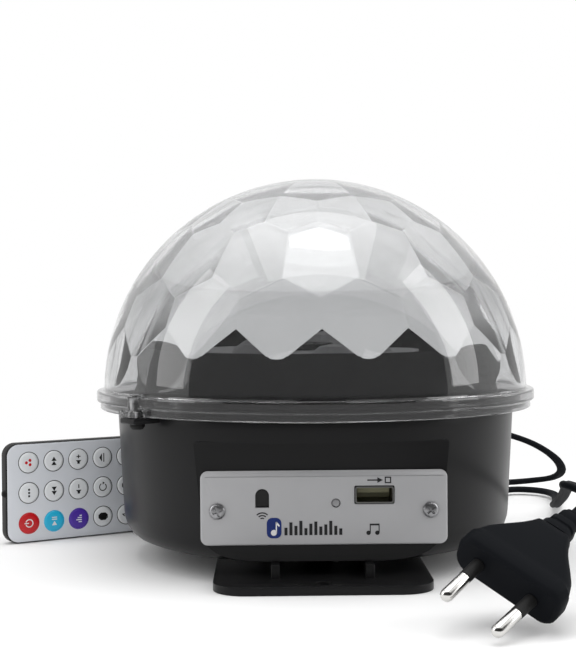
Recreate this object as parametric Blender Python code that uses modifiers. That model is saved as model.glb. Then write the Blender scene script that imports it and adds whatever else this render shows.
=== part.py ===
"""Led disco ball light: faceted clear dome on a drum housing, with its lead, plug and card remote.

World frame: metres, +Z up, the lamp's axis is Z, the control plate faces -Y, the foot plate rests on z = 0.
"""
import math

import bmesh
import bpy
import numpy as np
from mathutils import Matrix, Vector

MM = 0.001
GAP = 0.3 * MM
TURN = 2.0 * math.pi

# Dome
BALL_R = 80.5 * MM
BALL_RINGS = 10
DOME_WALL = 1.9 * MM
BALL_IN_R = BALL_R - DOME_WALL
BALL_Z = 62.4 * MM
LIP_OUT = 2.8 * MM
LIP_R = BALL_R + LIP_OUT
SKIRT_T = 1.5 * MM
SKIRT_R = BALL_R + SKIRT_T
SKIRT_IN_R = BALL_R
LIP_TOP_Z = 63.2 * MM
LIP_LOW_Z = 59.2 * MM
SKIRT_LOW_Z = 56.4 * MM
DOME_SEAT_Z = 60.2 * MM
# latitude and angular radius in degrees, facets in the row, shift as a share of one facet
FACET_ROWS = ((12.4, 9.8, 16, 0.0), (24.5, 14.2, 16, 0.5), (40.6, 17.3, 16, 0.0),
              (54.5, 15.5, 16, 0.5), (68.5, 14.5, 8, 0.0), (90.0, 14.5, 1, 0.0))
LUG_AT_DEG = (-141.0, 39.0)
LUG_OUT = 1.1 * MM
LUG_RING_R = BALL_R + LUG_OUT
LUG_R = 3.3 * MM
LUG_TOP_Z = 64.2 * MM
LUG_TAB_W = 9.2 * MM
LUG_TAB_OUT = 4.2 * MM
LUG_TAB_OUT_R = LUG_RING_R + LUG_TAB_OUT
LUG_TAB_T = 2.2 * MM
LUG_HOLE_R = 1.7 * MM
LUG_ROOF = 1.4 * MM
DOME_SCREW_R = 1.4 * MM
DOME_SCREW_HEAD_R = 2.7 * MM
DOME_SCREW_HEAD_T = 1.9 * MM
DOME_SCREW_TOP = 2.2 * MM
DOME_SCREW_POINT = 0.8 * MM

# Housing
HOUSE_INSET = 5.1 * MM
HOUSE_DRAFT = 2.3 * MM
HOUSE_TOP_R = BALL_R - HOUSE_INSET
HOUSE_LOW_R = HOUSE_TOP_R - HOUSE_DRAFT
HOUSE_TOP_Z = 57.0 * MM
HOUSE_LOW_Z = 7.6 * MM
HOUSE_WALL = 2.2 * MM
HOUSE_ROUND = 9.0 * MM
FLAT_DEEP = 14.4 * MM
FLAT_Y = -(HOUSE_TOP_R - FLAT_DEEP)
FLAT_TOP_Z = 49.0 * MM
EAR_T = 2.0 * MM

# Control plate on the flat
PANEL_X = 0.7 * MM
PANEL_W = 84.0 * MM
PANEL_H = 25.4 * MM
PANEL_Z = 26.0 * MM
PANEL_T = 1.2 * MM
PANEL_ROUND = 2.6 * MM
PANEL_SCREW_DX = 36.2 * MM
PANEL_SCREW_Z = 25.0 * MM
PANEL_SCREW_R = 1.3 * MM
PANEL_HEAD_R = 2.75 * MM
PANEL_HEAD_T = 1.4 * MM
PANEL_SCREW_LONG = 6.5 * MM
PANEL_SLOT_L = 3.0 * MM
PANEL_SLOT_W = 0.6 * MM
WINDOW_W = 62.0 * MM
WINDOW_H = 17.0 * MM
WINDOW_ROUND = 2.0 * MM
WINDOW_UP = 0.8 * MM
USB_X = 17.8 * MM
USB_Z = 30.2 * MM
USB_W = 13.1 * MM
USB_H = 5.7 * MM
USB_DEEP = 14.0 * MM
USB_WALL = 0.45 * MM
USB_TONGUE_BACK = 4.8 * MM
USB_PROUD = 0.4 * MM
USB_ROUND = 0.5 * MM
USB_BLOCK_DEEP = 4.0 * MM
EYE_X = -20.3 * MM
EYE_LOW_Z = 26.1 * MM
EYE_W = 4.7 * MM
EYE_H = 6.4 * MM
LAMP_X = 4.7 * MM
LAMP_Z = 27.5 * MM
LAMP_R = 1.5 * MM
LAMP_LONG = 6.5 * MM
LAMP_BEHIND = 5.6 * MM
EYE_EDGE = 1.0 * MM
EYE_DEEP = 5.0 * MM

# Deck and foot
DECK_R = BALL_R - GAP
DECK_LOW_Z = 57.3 * MM
DECK_T = 2.6 * MM
DECK_HOLE_R = 9.0 * MM
WELL_INSET = 10.5 * MM
WELL_LOW_R = BALL_R - WELL_INSET
WELL_DRAFT = 6.7 * MM
WELL_TOP_R = WELL_LOW_R - WELL_DRAFT
WELL_TOP_Z = 78.0 * MM
WELL_T = 1.8 * MM
FOOT_W = 74.0 * MM
FOOT_REACH = 80.0 * MM
FOOT_T = 2.7 * MM
FOOT_ROUND = 7.0 * MM
FOOT_HOLE_Y = 73.0 * MM
FOOT_HOLE_R = 2.75 * MM
FOOT_RIB_X = 16.0 * MM
FOOT_RIB_W = 3.0 * MM
FOOT_RIB_OUT = 66.0 * MM

# Works inside the housing and on the deck
COLLAR_GAP = 0.6 * MM
COLLAR_R = HOUSE_TOP_R - HOUSE_WALL - COLLAR_GAP
COLLAR_T = 2.0 * MM
COLLAR_LOW_Z = 53.5 * MM
POST_R = 3.0 * MM
POST_HOLE_R = 1.3 * MM
POST_HOLE_DEEP = 5.0 * MM
BOARD_T = 1.6 * MM
BOARD_SCREW_R = 1.0 * MM
BOARD_SCREW_HEAD_R = 2.2 * MM
BOARD_POST_TOP = 16.0 * MM
SUPPLY_X0 = 15.0 * MM
SUPPLY_CLEAR = 24.1 * MM
SUPPLY_X1 = HOUSE_LOW_R - SUPPLY_CLEAR
SUPPLY_Y0 = -8.0 * MM
SUPPLY_Y1 = 24.0 * MM
PLAYER_Z = 25.4 * MM
PLAYER_POST_X = 25.0 * MM
PLAYER_BEHIND = 5.5 * MM
PLAYER_FRONT_Y = FLAT_Y + PLAYER_BEHIND
PLAYER_DEEP = 18.5 * MM
PLAYER_POST_Y = PLAYER_FRONT_Y + PLAYER_DEEP
SPEAKER_BACK = 13.8 * MM
SPEAKER_Y = HOUSE_TOP_R - SPEAKER_BACK
SPEAKER_Z = 34.0 * MM
SPEAKER_W = 54.0 * MM
SPEAKER_H = 44.0 * MM
SPEAKER_SCREW_X = 23.8 * MM
SPEAKER_T = 1.6 * MM
CONE_R = 19.0 * MM
GRILLE_R = 1.5 * MM
GRILLE_STEP = 6.0 * MM
MOTOR_R = 12.0 * MM
MOTOR_LOW_Z = 42.0 * MM
MOTOR_EAR_X = 15.0 * MM
SHAFT_R = 1.5 * MM
SHAFT_LOW_Z = 50.3 * MM
SHAFT_TOP_Z = 77.0 * MM
LIGHT_IN_R = 12.0 * MM
LIGHT_OUT_R = 36.0 * MM
LIGHT_RING_R = 24.0 * MM
LIGHTS = 6
ROTOR_R = 42.0 * MM
ROTOR_Z = 73.0 * MM
ROTOR_T = 2.0 * MM
ROTOR_LENS_R = 7.0 * MM
ROTOR_RING_R = 27.0 * MM
ROTOR_LENSES = 9
HUB_R = 6.0 * MM

# Foot screws
FOOT_SCREW_Y = 32.0 * MM
FOOT_SCREW_R = 1.5 * MM
FOOT_HEAD_R = 3.0 * MM

# Mains lead, coil and plug
GLAND_AT_DEG = 60.0
GLAND_Z = 36.0 * MM
GLAND_R = 4.6 * MM
GLAND_TAPER = 24.0 * MM
CORD_R = 2.2 * MM
COIL_X = 0.0 * MM
COIL_Y = 133.0 * MM
COIL_IN_R = 21.0 * MM
COIL_STEP = 5.2 * MM
COIL_LOW_Z = 3.6 * MM
COIL_DIP = 0.8 * MM
LOOP_POINTS = 24
TIE_T = 0.9 * MM
TIE_W = 4.0 * MM
PLUG_AT = (50.0 * MM, -128.0 * MM, 14.3 * MM)
PLUG_WAY = (-0.66, -0.66, -0.36)
PLUG_TILT_SHARE = 0.5
PLUG_W = 35.0 * MM
PLUG_T = 13.6 * MM
PLUG_LONG = 26.0 * MM
PLUG_ROUND = 3.2 * MM
RELIEF_LONG = 13.0 * MM
RELIEF_R = 5.2 * MM
RELIEF_RIBS = 3
PIN_R = 2.0 * MM
PIN_LONG = 19.0 * MM
PIN_HALF = 9.2 * MM
SLEEVE_LONG = 8.0 * MM

# Card remote, standing on its long edge against the back left of the housing
CARD_TURN_DEG = 30.0
CARD_L = 86.0 * MM
CARD_W = 40.0 * MM
CARD_UP = 0.1 * MM
CARD_CLOSER = 0.5 * MM
CARD_OFF = HOUSE_TOP_R - CARD_CLOSER
CARD_PAST = 12.0 * MM
CARD_T = 6.5 * MM
CARD_ROUND = 5.0 * MM
CARD_WALL = 1.3 * MM
FILM_T = 0.4 * MM
KEY_RISE = 0.35 * MM
KEY_X = 9.2 * MM
KEY_MARGINS = 22.4 * MM
KEY_STEP_X = (CARD_L - KEY_MARGINS) / 6.0
KEY_R = 0.41 * KEY_STEP_X
KEY_SIDES = 15.6 * MM
KEY_STEP_Y = (CARD_W - KEY_SIDES) / 2.0
CELL_R = 10.0 * MM
CELL_T = 2.3 * MM
TRAY_L = 24.0 * MM
TRAY_W = 22.0 * MM
TRAY_T = 2.8 * MM

MATERIALS = {
    "clear": ((0.92, 0.93, 0.94, 1.0), 0.0, 0.05),
    "black": ((0.012, 0.012, 0.013, 1.0), 0.0, 0.45),
    "black_soft": ((0.015, 0.015, 0.016, 1.0), 0.0, 0.7),
    "grey": ((0.38, 0.38, 0.39, 1.0), 0.0, 0.5),
    "steel": ((0.62, 0.62, 0.63, 1.0), 1.0, 0.28),
    "brass": ((0.75, 0.6, 0.3, 1.0), 1.0, 0.3),
    "board": ((0.03, 0.16, 0.06, 1.0), 0.0, 0.5),
    "white": ((0.8, 0.8, 0.8, 1.0), 0.0, 0.45),
    "paper": ((0.05, 0.045, 0.04, 1.0), 0.0, 0.9),
    "olive": ((0.16, 0.15, 0.05, 1.0), 0.0, 0.6),
}


def reset():
    for obj in list(bpy.data.objects):
        bpy.data.objects.remove(obj)
    for name in ("led_disco_ball_light", "cutters"):
        group = bpy.data.collections.new(name)
        bpy.context.scene.collection.children.link(group)


def material(name):
    found = bpy.data.materials.get(name)
    if found:
        return found
    colour, metal, rough = MATERIALS[name]
    made = bpy.data.materials.new(name)
    made.use_nodes = True
    shader = made.node_tree.nodes["Principled BSDF"]
    shader.inputs["Base Color"].default_value = colour
    shader.inputs["Metallic"].default_value = metal
    shader.inputs["Roughness"].default_value = rough
    made.diffuse_color = colour
    return made


def place(obj, mat=None):
    """Links a finished piece to the part, or with no material to the cutters."""
    group = bpy.data.collections["led_disco_ball_light" if mat else "cutters"]
    group.objects.link(obj)
    if mat:
        obj.data.materials.clear()
        obj.data.materials.append(material(mat))
    else:
        obj.hide_render = True
        obj.display_type = "WIRE"
    return obj


def solid(bm, name, mat=None):
    bmesh.ops.recalc_face_normals(bm, faces=bm.faces)
    mesh = bpy.data.meshes.new(name)
    bm.to_mesh(mesh)
    bm.free()
    return place(bpy.data.objects.new(name, mesh), mat)


def lathe(name, profile, mat=None, steps=32, centre=(0.0, 0.0), ring=False):
    """Turns a profile of (radius, z) about the upright line through centre; a ring's closes on itself."""
    count = len(profile)
    last = count if ring else count - 1
    edges = [(i, (i + 1) % count) for i in range(last)]
    mesh = bpy.data.meshes.new(name)
    mesh.from_pydata([(r, 0.0, z) for r, z in profile], edges, [])
    obj = bpy.data.objects.new(name, mesh)
    obj.location = (centre[0], centre[1], 0.0)
    screw = obj.modifiers.new("turn", "SCREW")
    screw.steps = steps
    screw.render_steps = steps
    screw.use_merge_vertices = True
    screw.merge_threshold = 0.00001
    place(obj, mat)
    return baked(obj)


def baked(obj):
    """Applies the modifiers and the place of an object to its own mesh."""
    bpy.context.view_layer.update()
    seen = obj.evaluated_get(bpy.context.evaluated_depsgraph_get())
    mesh = bpy.data.meshes.new_from_object(seen)
    mats = [slot.material for slot in obj.material_slots]
    bm = bmesh.new()
    bm.from_mesh(mesh)
    bmesh.ops.remove_doubles(bm, verts=bm.verts, dist=0.000005)
    bmesh.ops.transform(bm, matrix=obj.matrix_world, verts=bm.verts)
    bmesh.ops.recalc_face_normals(bm, faces=bm.faces)
    bm.to_mesh(mesh)
    bm.free()
    mesh.materials.clear()
    for mat in mats:
        mesh.materials.append(mat)
    obj.modifiers.clear()
    obj.data = mesh
    obj.location = (0.0, 0.0, 0.0)
    obj.rotation_euler = (0.0, 0.0, 0.0)
    return obj


def combine(obj, other, how="DIFFERENCE"):
    """Cuts another object out of a piece or joins it on, then bakes the result."""
    mod = obj.modifiers.new(how.lower(), "BOOLEAN")
    mod.operation = how
    mod.solver = "EXACT"
    mod.object = other
    if other.name not in bpy.data.collections["cutters"].objects:
        for group in list(other.users_collection):
            group.objects.unlink(other)
        bpy.data.collections["cutters"].objects.link(other)
        other.hide_render = True
        other.display_type = "WIRE"
    return baked(obj)


def box(name, low, high, mat=None, bevel=0.0):
    bm = bmesh.new()
    bmesh.ops.create_cube(bm, size=1.0)
    low, high = Vector(low), Vector(high)
    for vert in bm.verts:
        vert.co = Vector([low[i] + (vert.co[i] + 0.5) * (high[i] - low[i]) for i in range(3)])
    if bevel:
        bmesh.ops.bevel(bm, geom=bm.edges[:], offset=bevel, segments=1, affect="EDGES")
    return solid(bm, name, mat)


def rod(name, start, end, radius, mat=None, sides=20, end_radius=None):
    """A round bar, or a cone with an end radius, between two points."""
    bm = bmesh.new()
    start, end = Vector(start), Vector(end)
    way = end - start
    bmesh.ops.create_cone(bm, cap_ends=True, segments=sides, radius1=radius, depth=way.length,
                          radius2=radius if end_radius is None else end_radius)
    turn = way.to_track_quat("Z", "Y").to_matrix().to_4x4()
    bmesh.ops.transform(bm, matrix=Matrix.Translation((start + end) / 2.0) @ turn, verts=bm.verts)
    return solid(bm, name, mat)


def upright_rod(name, spot, low, high, radius, sides):
    return rod(name, (spot[0], spot[1], low), (spot[0], spot[1], high), radius, sides=sides)


def keep(piece, name, mat):
    """Turns a helper solid into a named piece of the part."""
    piece.name = name
    for group in list(piece.users_collection):
        group.objects.unlink(piece)
    piece.hide_render = False
    piece.display_type = "TEXTURED"
    return place(piece, mat)


def outline_round(cx, cy, w, h, r, steps=4):
    points = []
    for corner in range(4):
        sx = 1.0 if corner in (0, 3) else -1.0
        sy = 1.0 if corner in (0, 1) else -1.0
        for i in range(steps + 1):
            a = TURN / 4.0 * (corner + i / steps)
            points.append((cx + sx * (w / 2.0 - r) + r * math.cos(a),
                           cy + sy * (h / 2.0 - r) + r * math.sin(a)))
    return points


def outline_circle(cx, cy, r, steps=24, start=0.0):
    return [(cx + r * math.cos(start + TURN * i / steps), cy + r * math.sin(start + TURN * i / steps))
            for i in range(steps)]


def plate(name, outlines, thick, mat=None, at=(0.0, 0.0, 0.0), upright=False):
    """A flat plate from a filled 2D curve: first its outline, then its holes. Upright plates face -Y."""
    curve = bpy.data.curves.new(name, "CURVE")
    curve.dimensions = "2D"
    curve.fill_mode = "BOTH"
    curve.extrude = thick / 2.0
    for points in outlines:
        line = curve.splines.new("POLY")
        line.points.add(len(points) - 1)
        for spot, (x, y) in zip(line.points, points):
            spot.co = (x, y, 0.0, 1.0)
        line.use_cyclic_u = True
    shape = bpy.data.objects.new(name + "_line", curve)
    bpy.context.scene.collection.objects.link(shape)
    bpy.context.view_layer.update()
    mesh = bpy.data.meshes.new_from_object(shape.evaluated_get(bpy.context.evaluated_depsgraph_get()))
    bpy.data.objects.remove(shape)
    bm = bmesh.new()
    bm.from_mesh(mesh)
    bmesh.ops.remove_doubles(bm, verts=bm.verts, dist=0.000002)
    bmesh.ops.dissolve_limit(bm, angle_limit=0.001, verts=bm.verts, edges=bm.edges)
    turn = Matrix.Rotation(TURN / 4.0, 4, "X") if upright else Matrix.Identity(4)
    bmesh.ops.transform(bm, matrix=Matrix.Translation(at) @ turn, verts=bm.verts)
    return solid(bm, name, mat)


def around(radius, degrees, z=0.0):
    a = math.radians(degrees)
    return Vector((radius * math.cos(a), radius * math.sin(a), z))


# Dome: smooth outside, flat facets cut in the cavity, flange with two screw lugs
def build_dome():
    profile = [(0.0, BALL_Z + BALL_R)]
    for i in range(1, BALL_RINGS):
        a = TURN / 4.0 * (1.0 - i / BALL_RINGS)
        profile.append((BALL_R * math.cos(a), BALL_Z + BALL_R * math.sin(a)))
    profile += [(BALL_R, LIP_TOP_Z + GAP), (LIP_R - GAP, LIP_TOP_Z), (LIP_R, LIP_TOP_Z - GAP),
                (LIP_R, LIP_LOW_Z), (SKIRT_R, LIP_LOW_Z), (SKIRT_R, SKIRT_LOW_Z),
                (SKIRT_IN_R, SKIRT_LOW_Z), (SKIRT_IN_R, DOME_SEAT_Z), (0.0, DOME_SEAT_Z)]
    dome = lathe("dome", profile, "clear", steps=56)
    bm = bmesh.new()
    bmesh.ops.create_uvsphere(bm, u_segments=32, v_segments=16, radius=BALL_IN_R)
    start = Vector((0.0, 0.0, (DOME_SEAT_Z - BALL_Z) - 2.0 * MM))
    cut = bmesh.ops.bisect_plane(bm, geom=bm.verts[:] + bm.edges[:] + bm.faces[:], plane_co=start,
                                 plane_no=(0.0, 0.0, -1.0), clear_outer=True)
    bmesh.ops.edgeloop_fill(bm, edges=[e for e in cut["geom_cut"] if isinstance(e, bmesh.types.BMEdge)])
    for latitude, reach, count, shift in FACET_ROWS:
        lat = math.radians(latitude)
        far = BALL_IN_R * math.cos(math.radians(reach))
        for i in range(count):
            lon = TURN * (i + shift) / count - TURN / 4.0
            way = Vector((math.cos(lat) * math.cos(lon), math.cos(lat) * math.sin(lon), math.sin(lat)))
            cut = bmesh.ops.bisect_plane(bm, geom=bm.verts[:] + bm.edges[:] + bm.faces[:],
                                         plane_co=way * far, plane_no=way, clear_outer=True)
            rim = [e for e in cut["geom_cut"] if isinstance(e, bmesh.types.BMEdge)]
            if rim:
                bmesh.ops.edgeloop_fill(bm, edges=rim)
    bmesh.ops.remove_doubles(bm, verts=bm.verts, dist=0.0003)
    bmesh.ops.translate(bm, verts=bm.verts, vec=(0.0, 0.0, BALL_Z))
    combine(dome, solid(bm, "dome_cavity"))
    for at in LUG_AT_DEG:
        spot = around(LUG_RING_R, at)
        combine(dome, upright_rod("lug", spot, SKIRT_LOW_Z, LUG_TOP_Z, LUG_R, 20), "UNION")
        inner = SKIRT_IN_R + GAP
        tab = box("tab", (inner, -LUG_TAB_W / 2.0, SKIRT_LOW_Z),
                  (LUG_TAB_OUT_R, LUG_TAB_W / 2.0, SKIRT_LOW_Z + LUG_TAB_T), bevel=GAP)
        tab.rotation_euler.z = math.radians(at)
        combine(dome, baked(tab), "UNION")
        low = SKIRT_LOW_Z - MM
        high = LUG_TOP_Z - LUG_ROOF
        combine(dome, upright_rod("lug_hole", spot, low, high, LUG_HOLE_R, 16))
    for number, at in enumerate(LUG_AT_DEG, 1):
        spot = around(LUG_RING_R, at)
        head_top = SKIRT_LOW_Z - GAP - EAR_T - GAP / 3.0
        tip = LUG_TOP_Z - DOME_SCREW_TOP
        low = head_top - DOME_SCREW_HEAD_T
        profile = [(0.0, tip), (DOME_SCREW_R * 0.6, tip), (DOME_SCREW_R, tip - DOME_SCREW_POINT),
                   (DOME_SCREW_R, head_top), (DOME_SCREW_HEAD_R, head_top),
                   (DOME_SCREW_HEAD_R, head_top - DOME_SCREW_HEAD_T * 0.5), (DOME_SCREW_HEAD_R * 0.7, low),
                   (0.0, low)]
        lathe(f"dome_screw_{number}", profile, "black_soft", steps=16, centre=(spot.x, spot.y))


# Housing: a thin drum with a flat at the front, closed below, with ears for the dome screws
def drum(name, inset):
    low = HOUSE_LOW_Z + inset
    r_low, r_top = HOUSE_LOW_R - inset, HOUSE_TOP_R - inset
    bend = HOUSE_ROUND - inset
    top = HOUSE_TOP_Z + (HOUSE_WALL if inset else 0.0)
    profile = [(0.0, top), (r_top, top), (r_low + 0.3 * MM, low + bend)]
    for i in range(1, 5):
        a = TURN / 4.0 * i / 5.0
        profile.append((r_low - bend * (1.0 - math.cos(a)), low + bend * (1.0 - math.sin(a))))
    profile += [(r_low - bend, low), (0.0, low)]
    body = lathe(name, profile, None if inset else "black", steps=48)
    far = 2.0 * HOUSE_TOP_R
    cut = box(name + "_flat", (-far, -far, -far), (far, FLAT_Y + inset, FLAT_TOP_Z + inset))
    return combine(body, cut)


def build_housing():
    house = drum("housing", 0.0)
    ears = []
    for at in LUG_AT_DEG:
        top = SKIRT_LOW_Z - GAP
        ear = box("ear", (HOUSE_TOP_R - HOUSE_WALL, -LUG_TAB_W / 2.0, top - EAR_T),
                  (LUG_TAB_OUT_R, LUG_TAB_W / 2.0, top), bevel=GAP)
        ear.rotation_euler.z = math.radians(at)
        ears.append(baked(ear))
    combine(house, drum("hollow", HOUSE_WALL))
    for ear in ears:
        combine(house, ear, "UNION")
    for at in LUG_AT_DEG:
        spot = around(LUG_RING_R, at)
        combine(house, upright_rod("ear_hole", spot, HOUSE_LOW_Z, HOUSE_TOP_Z, LUG_HOLE_R, 16))
    posts = [(x, y, BOARD_POST_TOP) for x in (-SUPPLY_X1, -SUPPLY_X0) for y in (SUPPLY_Y0, SUPPLY_Y1)]
    posts += [(x, y, PLAYER_Z - GAP) for x in (-PLAYER_POST_X, PLAYER_POST_X) for y in (PLAYER_POST_Y,)]
    for x, y, top in posts:
        low = HOUSE_LOW_Z + HOUSE_WALL / 2.0
        combine(house, upright_rod("post", (x, y), low, top, POST_R, 12), "UNION")
        combine(house, upright_rod("post_hole", (x, y), top - POST_HOLE_DEEP, top + MM, POST_HOLE_R, 8))
    edge = outline_round(PANEL_X, PANEL_Z + WINDOW_UP, WINDOW_W, WINDOW_H, WINDOW_ROUND, 2)
    combine(house, plate("window", [edge], 4.0 * HOUSE_WALL, at=(0.0, FLAT_Y, 0.0), upright=True))
    for side in (-1.0, 1.0):
        x = PANEL_X + side * PANEL_SCREW_DX
        combine(house, rod("hole", (x, FLAT_Y - MM, PANEL_SCREW_Z),
                           (x, FLAT_Y + 2.0 * HOUSE_WALL, PANEL_SCREW_Z), PANEL_SCREW_R + GAP, sides=12))
    gland = around(HOUSE_TOP_R, GLAND_AT_DEG, GLAND_Z)
    way = around(1.0, GLAND_AT_DEG)
    combine(house, rod("gland_hole", gland - way * 8.0 * MM, gland + way * 4.0 * MM, GLAND_R + GAP,
                       sides=16))
    for side in (-1.0, 1.0):
        x, near = side * SPEAKER_SCREW_X, SPEAKER_Y + SPEAKER_T + GAP
        combine(house, rod("boss", (x, near, SPEAKER_Z), (x, SPEAKER_Y + 8.4 * MM, SPEAKER_Z), POST_R,
                           sides=12), "UNION")
        combine(house, rod("boss_hole", (x, near - MM, SPEAKER_Z), (x, near + 4.0 * MM, SPEAKER_Z),
                           POST_HOLE_R, sides=8))
    for x, z in grille_spots():
        combine(house, rod("grille_hole", (x, SPEAKER_Y, z), (x, HOUSE_TOP_R + MM, z), GRILLE_R, sides=6))
    for y in (-FOOT_SCREW_Y, FOOT_SCREW_Y):
        combine(house, rod("foot_hole", (0.0, y, HOUSE_LOW_Z - MM),
                           (0.0, y, HOUSE_LOW_Z + 2.0 * HOUSE_WALL), FOOT_SCREW_R + GAP / 2.0, sides=12))


def grille_spots():
    spots = [(0.0, SPEAKER_Z)]
    for ring, count in ((1, 6), (2, 6)):
        for i in range(count):
            a = TURN * i / count
            spots.append((GRILLE_STEP * ring * math.cos(a), SPEAKER_Z + GRILLE_STEP * ring * math.sin(a)))
    return spots


# Control plate with its screws, socket, receiver and status light
def build_panel():
    eye = [(EYE_X - EYE_W / 2.0, EYE_LOW_Z), (EYE_X + EYE_W / 2.0, EYE_LOW_Z)]
    for i in range(9):
        a = TURN / 2.0 * i / 8
        eye.append((EYE_X + EYE_W / 2.0 * math.cos(a),
                    EYE_LOW_Z + EYE_H - EYE_W / 2.0 + EYE_W / 2.0 * math.sin(a)))
    usb = outline_round(USB_X, USB_Z, USB_W + 2.0 * GAP, USB_H + 2.0 * GAP, USB_ROUND, 1)
    holes = [eye, usb, outline_circle(LAMP_X, LAMP_Z, LAMP_R + GAP, 16)]
    for side in (-1.0, 1.0):
        holes.append(outline_circle(PANEL_X + side * PANEL_SCREW_DX, PANEL_SCREW_Z, PANEL_SCREW_R + GAP,
                                    16))
    edge = outline_round(PANEL_X, PANEL_Z, PANEL_W, PANEL_H, PANEL_ROUND, 4)
    y = FLAT_Y - GAP / 3.0 - PANEL_T / 2.0
    plate("control_panel", [edge] + holes, PANEL_T, "grey", at=(0.0, y, 0.0), upright=True)
    front = y - PANEL_T / 2.0
    for side, where in ((-1.0, "left"), (1.0, "right")):
        profile = [(0.0, PANEL_HEAD_T), (PANEL_HEAD_R * 0.5, PANEL_HEAD_T * 0.95),
                   (PANEL_HEAD_R * 0.85, PANEL_HEAD_T * 0.6), (PANEL_HEAD_R, 0.0), (PANEL_SCREW_R, 0.0),
                   (PANEL_SCREW_R, -PANEL_SCREW_LONG), (0.0, -PANEL_SCREW_LONG - MM)]
        screw = lathe("screw", profile, steps=20)
        for turn in (TURN / 8.0, 3.0 * TURN / 8.0):
            half, thin = PANEL_SLOT_L / 2.0, PANEL_SLOT_W / 2.0
            slot = box("slot", (-half, -thin, PANEL_HEAD_T * 0.55), (half, thin, 2.0 * PANEL_HEAD_T))
            slot.rotation_euler.z = turn + side * 0.2
            combine(screw, baked(slot))
        screw.rotation_euler.x = TURN / 4.0
        screw.location = (PANEL_X + side * PANEL_SCREW_DX, front - GAP / 3.0, PANEL_SCREW_Z)
        keep(baked(screw), "panel_screw_" + where, "steel")
    outer = outline_round(USB_X, USB_Z, USB_W, USB_H, USB_ROUND, 1)
    inner = outline_round(USB_X, USB_Z, USB_W - 2.0 * USB_WALL, USB_H - 2.0 * USB_WALL, GAP, 1)
    back = front - USB_PROUD + USB_DEEP
    plate("usb_shell", [outer, inner], USB_DEEP, "steel", at=(0.0, back - USB_DEEP / 2.0, 0.0),
          upright=True)
    w, h = USB_W / 2.0 - USB_WALL - GAP / 3.0, USB_H / 2.0 - USB_WALL - GAP / 3.0
    low = (USB_X - w, back - USB_BLOCK_DEEP, USB_Z - h)
    high = (USB_X + w, back - GAP, USB_Z + h)
    tongue = box("usb_tongue", low, high, "olive", bevel=GAP)
    blade = box("blade", (USB_X - w + 0.5 * MM, front + USB_TONGUE_BACK, USB_Z + 0.1 * MM),
                (USB_X + w - 0.5 * MM, back - 3.0 * MM, USB_Z + h - 0.3 * MM))
    combine(tongue, blade, "UNION")
    side = EYE_W / 2.0 + EYE_EDGE
    lens_low = (EYE_X - side, FLAT_Y + GAP, EYE_LOW_Z - EYE_EDGE)
    lens_high = (EYE_X + side, FLAT_Y + EYE_DEEP, EYE_LOW_Z + EYE_H + EYE_EDGE)
    eye_box = box("ir_receiver", lens_low, lens_high, "black", bevel=GAP)
    mid = EYE_LOW_Z + EYE_H - EYE_W / 2.0
    nose = rod("nose", (EYE_X, front + 0.4 * MM, mid), (EYE_X, FLAT_Y + 2.0 * MM, mid), EYE_W / 2.0 - GAP,
               sides=16)
    combine(eye_box, nose, "UNION")
    profile = [(0.0, LAMP_LONG), (LAMP_R * 0.7, LAMP_LONG - GAP), (LAMP_R, LAMP_LONG - LAMP_R),
               (LAMP_R, 0.0), (0.0, 0.0)]
    lamp = lathe("status_led", profile, "white", steps=16)
    lamp.rotation_euler.x = TURN / 4.0
    lamp.location = (LAMP_X, front + LAMP_BEHIND, LAMP_Z)
    baked(lamp)


# Deck with its collar and the upstanding wall of the light well
def build_deck():
    top = DECK_LOW_Z + DECK_T
    profile = [(DECK_HOLE_R, top), (DECK_R, top), (DECK_R, DECK_LOW_Z), (COLLAR_R, DECK_LOW_Z),
               (COLLAR_R, COLLAR_LOW_Z), (COLLAR_R - COLLAR_T, COLLAR_LOW_Z),
               (COLLAR_R - COLLAR_T, DECK_LOW_Z), (DECK_HOLE_R, DECK_LOW_Z)]
    deck = lathe("deck_plate", profile, "black_soft", steps=26, ring=True)
    low = top - DECK_T / 2.0
    profile = [(WELL_LOW_R, low), (WELL_LOW_R, top), (WELL_TOP_R, WELL_TOP_Z),
               (WELL_TOP_R - WELL_T, WELL_TOP_Z), (WELL_LOW_R - WELL_T, top), (WELL_LOW_R - WELL_T, low)]
    combine(deck, lathe("light_well", profile, steps=26, ring=True), "UNION")
    for at in LUG_AT_DEG:
        spot = around(LUG_RING_R, at)
        low, high = SKIRT_LOW_Z, top + MM
        combine(deck, rod("notch", (spot.x, spot.y, low), (spot.x, spot.y, high), LUG_R + GAP, sides=16))
    for side in (-1.0, 1.0):
        x = side * MOTOR_EAR_X
        combine(deck, rod("hole", (x, 0.0, DECK_LOW_Z - MM), (x, 0.0, top - 0.8 * MM), POST_HOLE_R,
                          sides=8))


def small_screw(spot, under_head, long, up=1.0):
    """A pan head screw whose head rests at under_head; up is +1 with the head on top, -1 from below."""
    profile = [(0.0, 1.2 * MM), (BOARD_SCREW_HEAD_R * 0.7, 1.1 * MM), (BOARD_SCREW_HEAD_R, 0.5 * MM),
               (BOARD_SCREW_HEAD_R, 0.0), (BOARD_SCREW_R, 0.0), (BOARD_SCREW_R, -long),
               (0.0, -long - 0.6 * MM)]
    screw = lathe("screw", profile, steps=12)
    screw.rotation_euler.x = 0.0 if up > 0.0 else TURN / 2.0
    screw.location = (spot[0], spot[1], under_head)
    return baked(screw)


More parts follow.
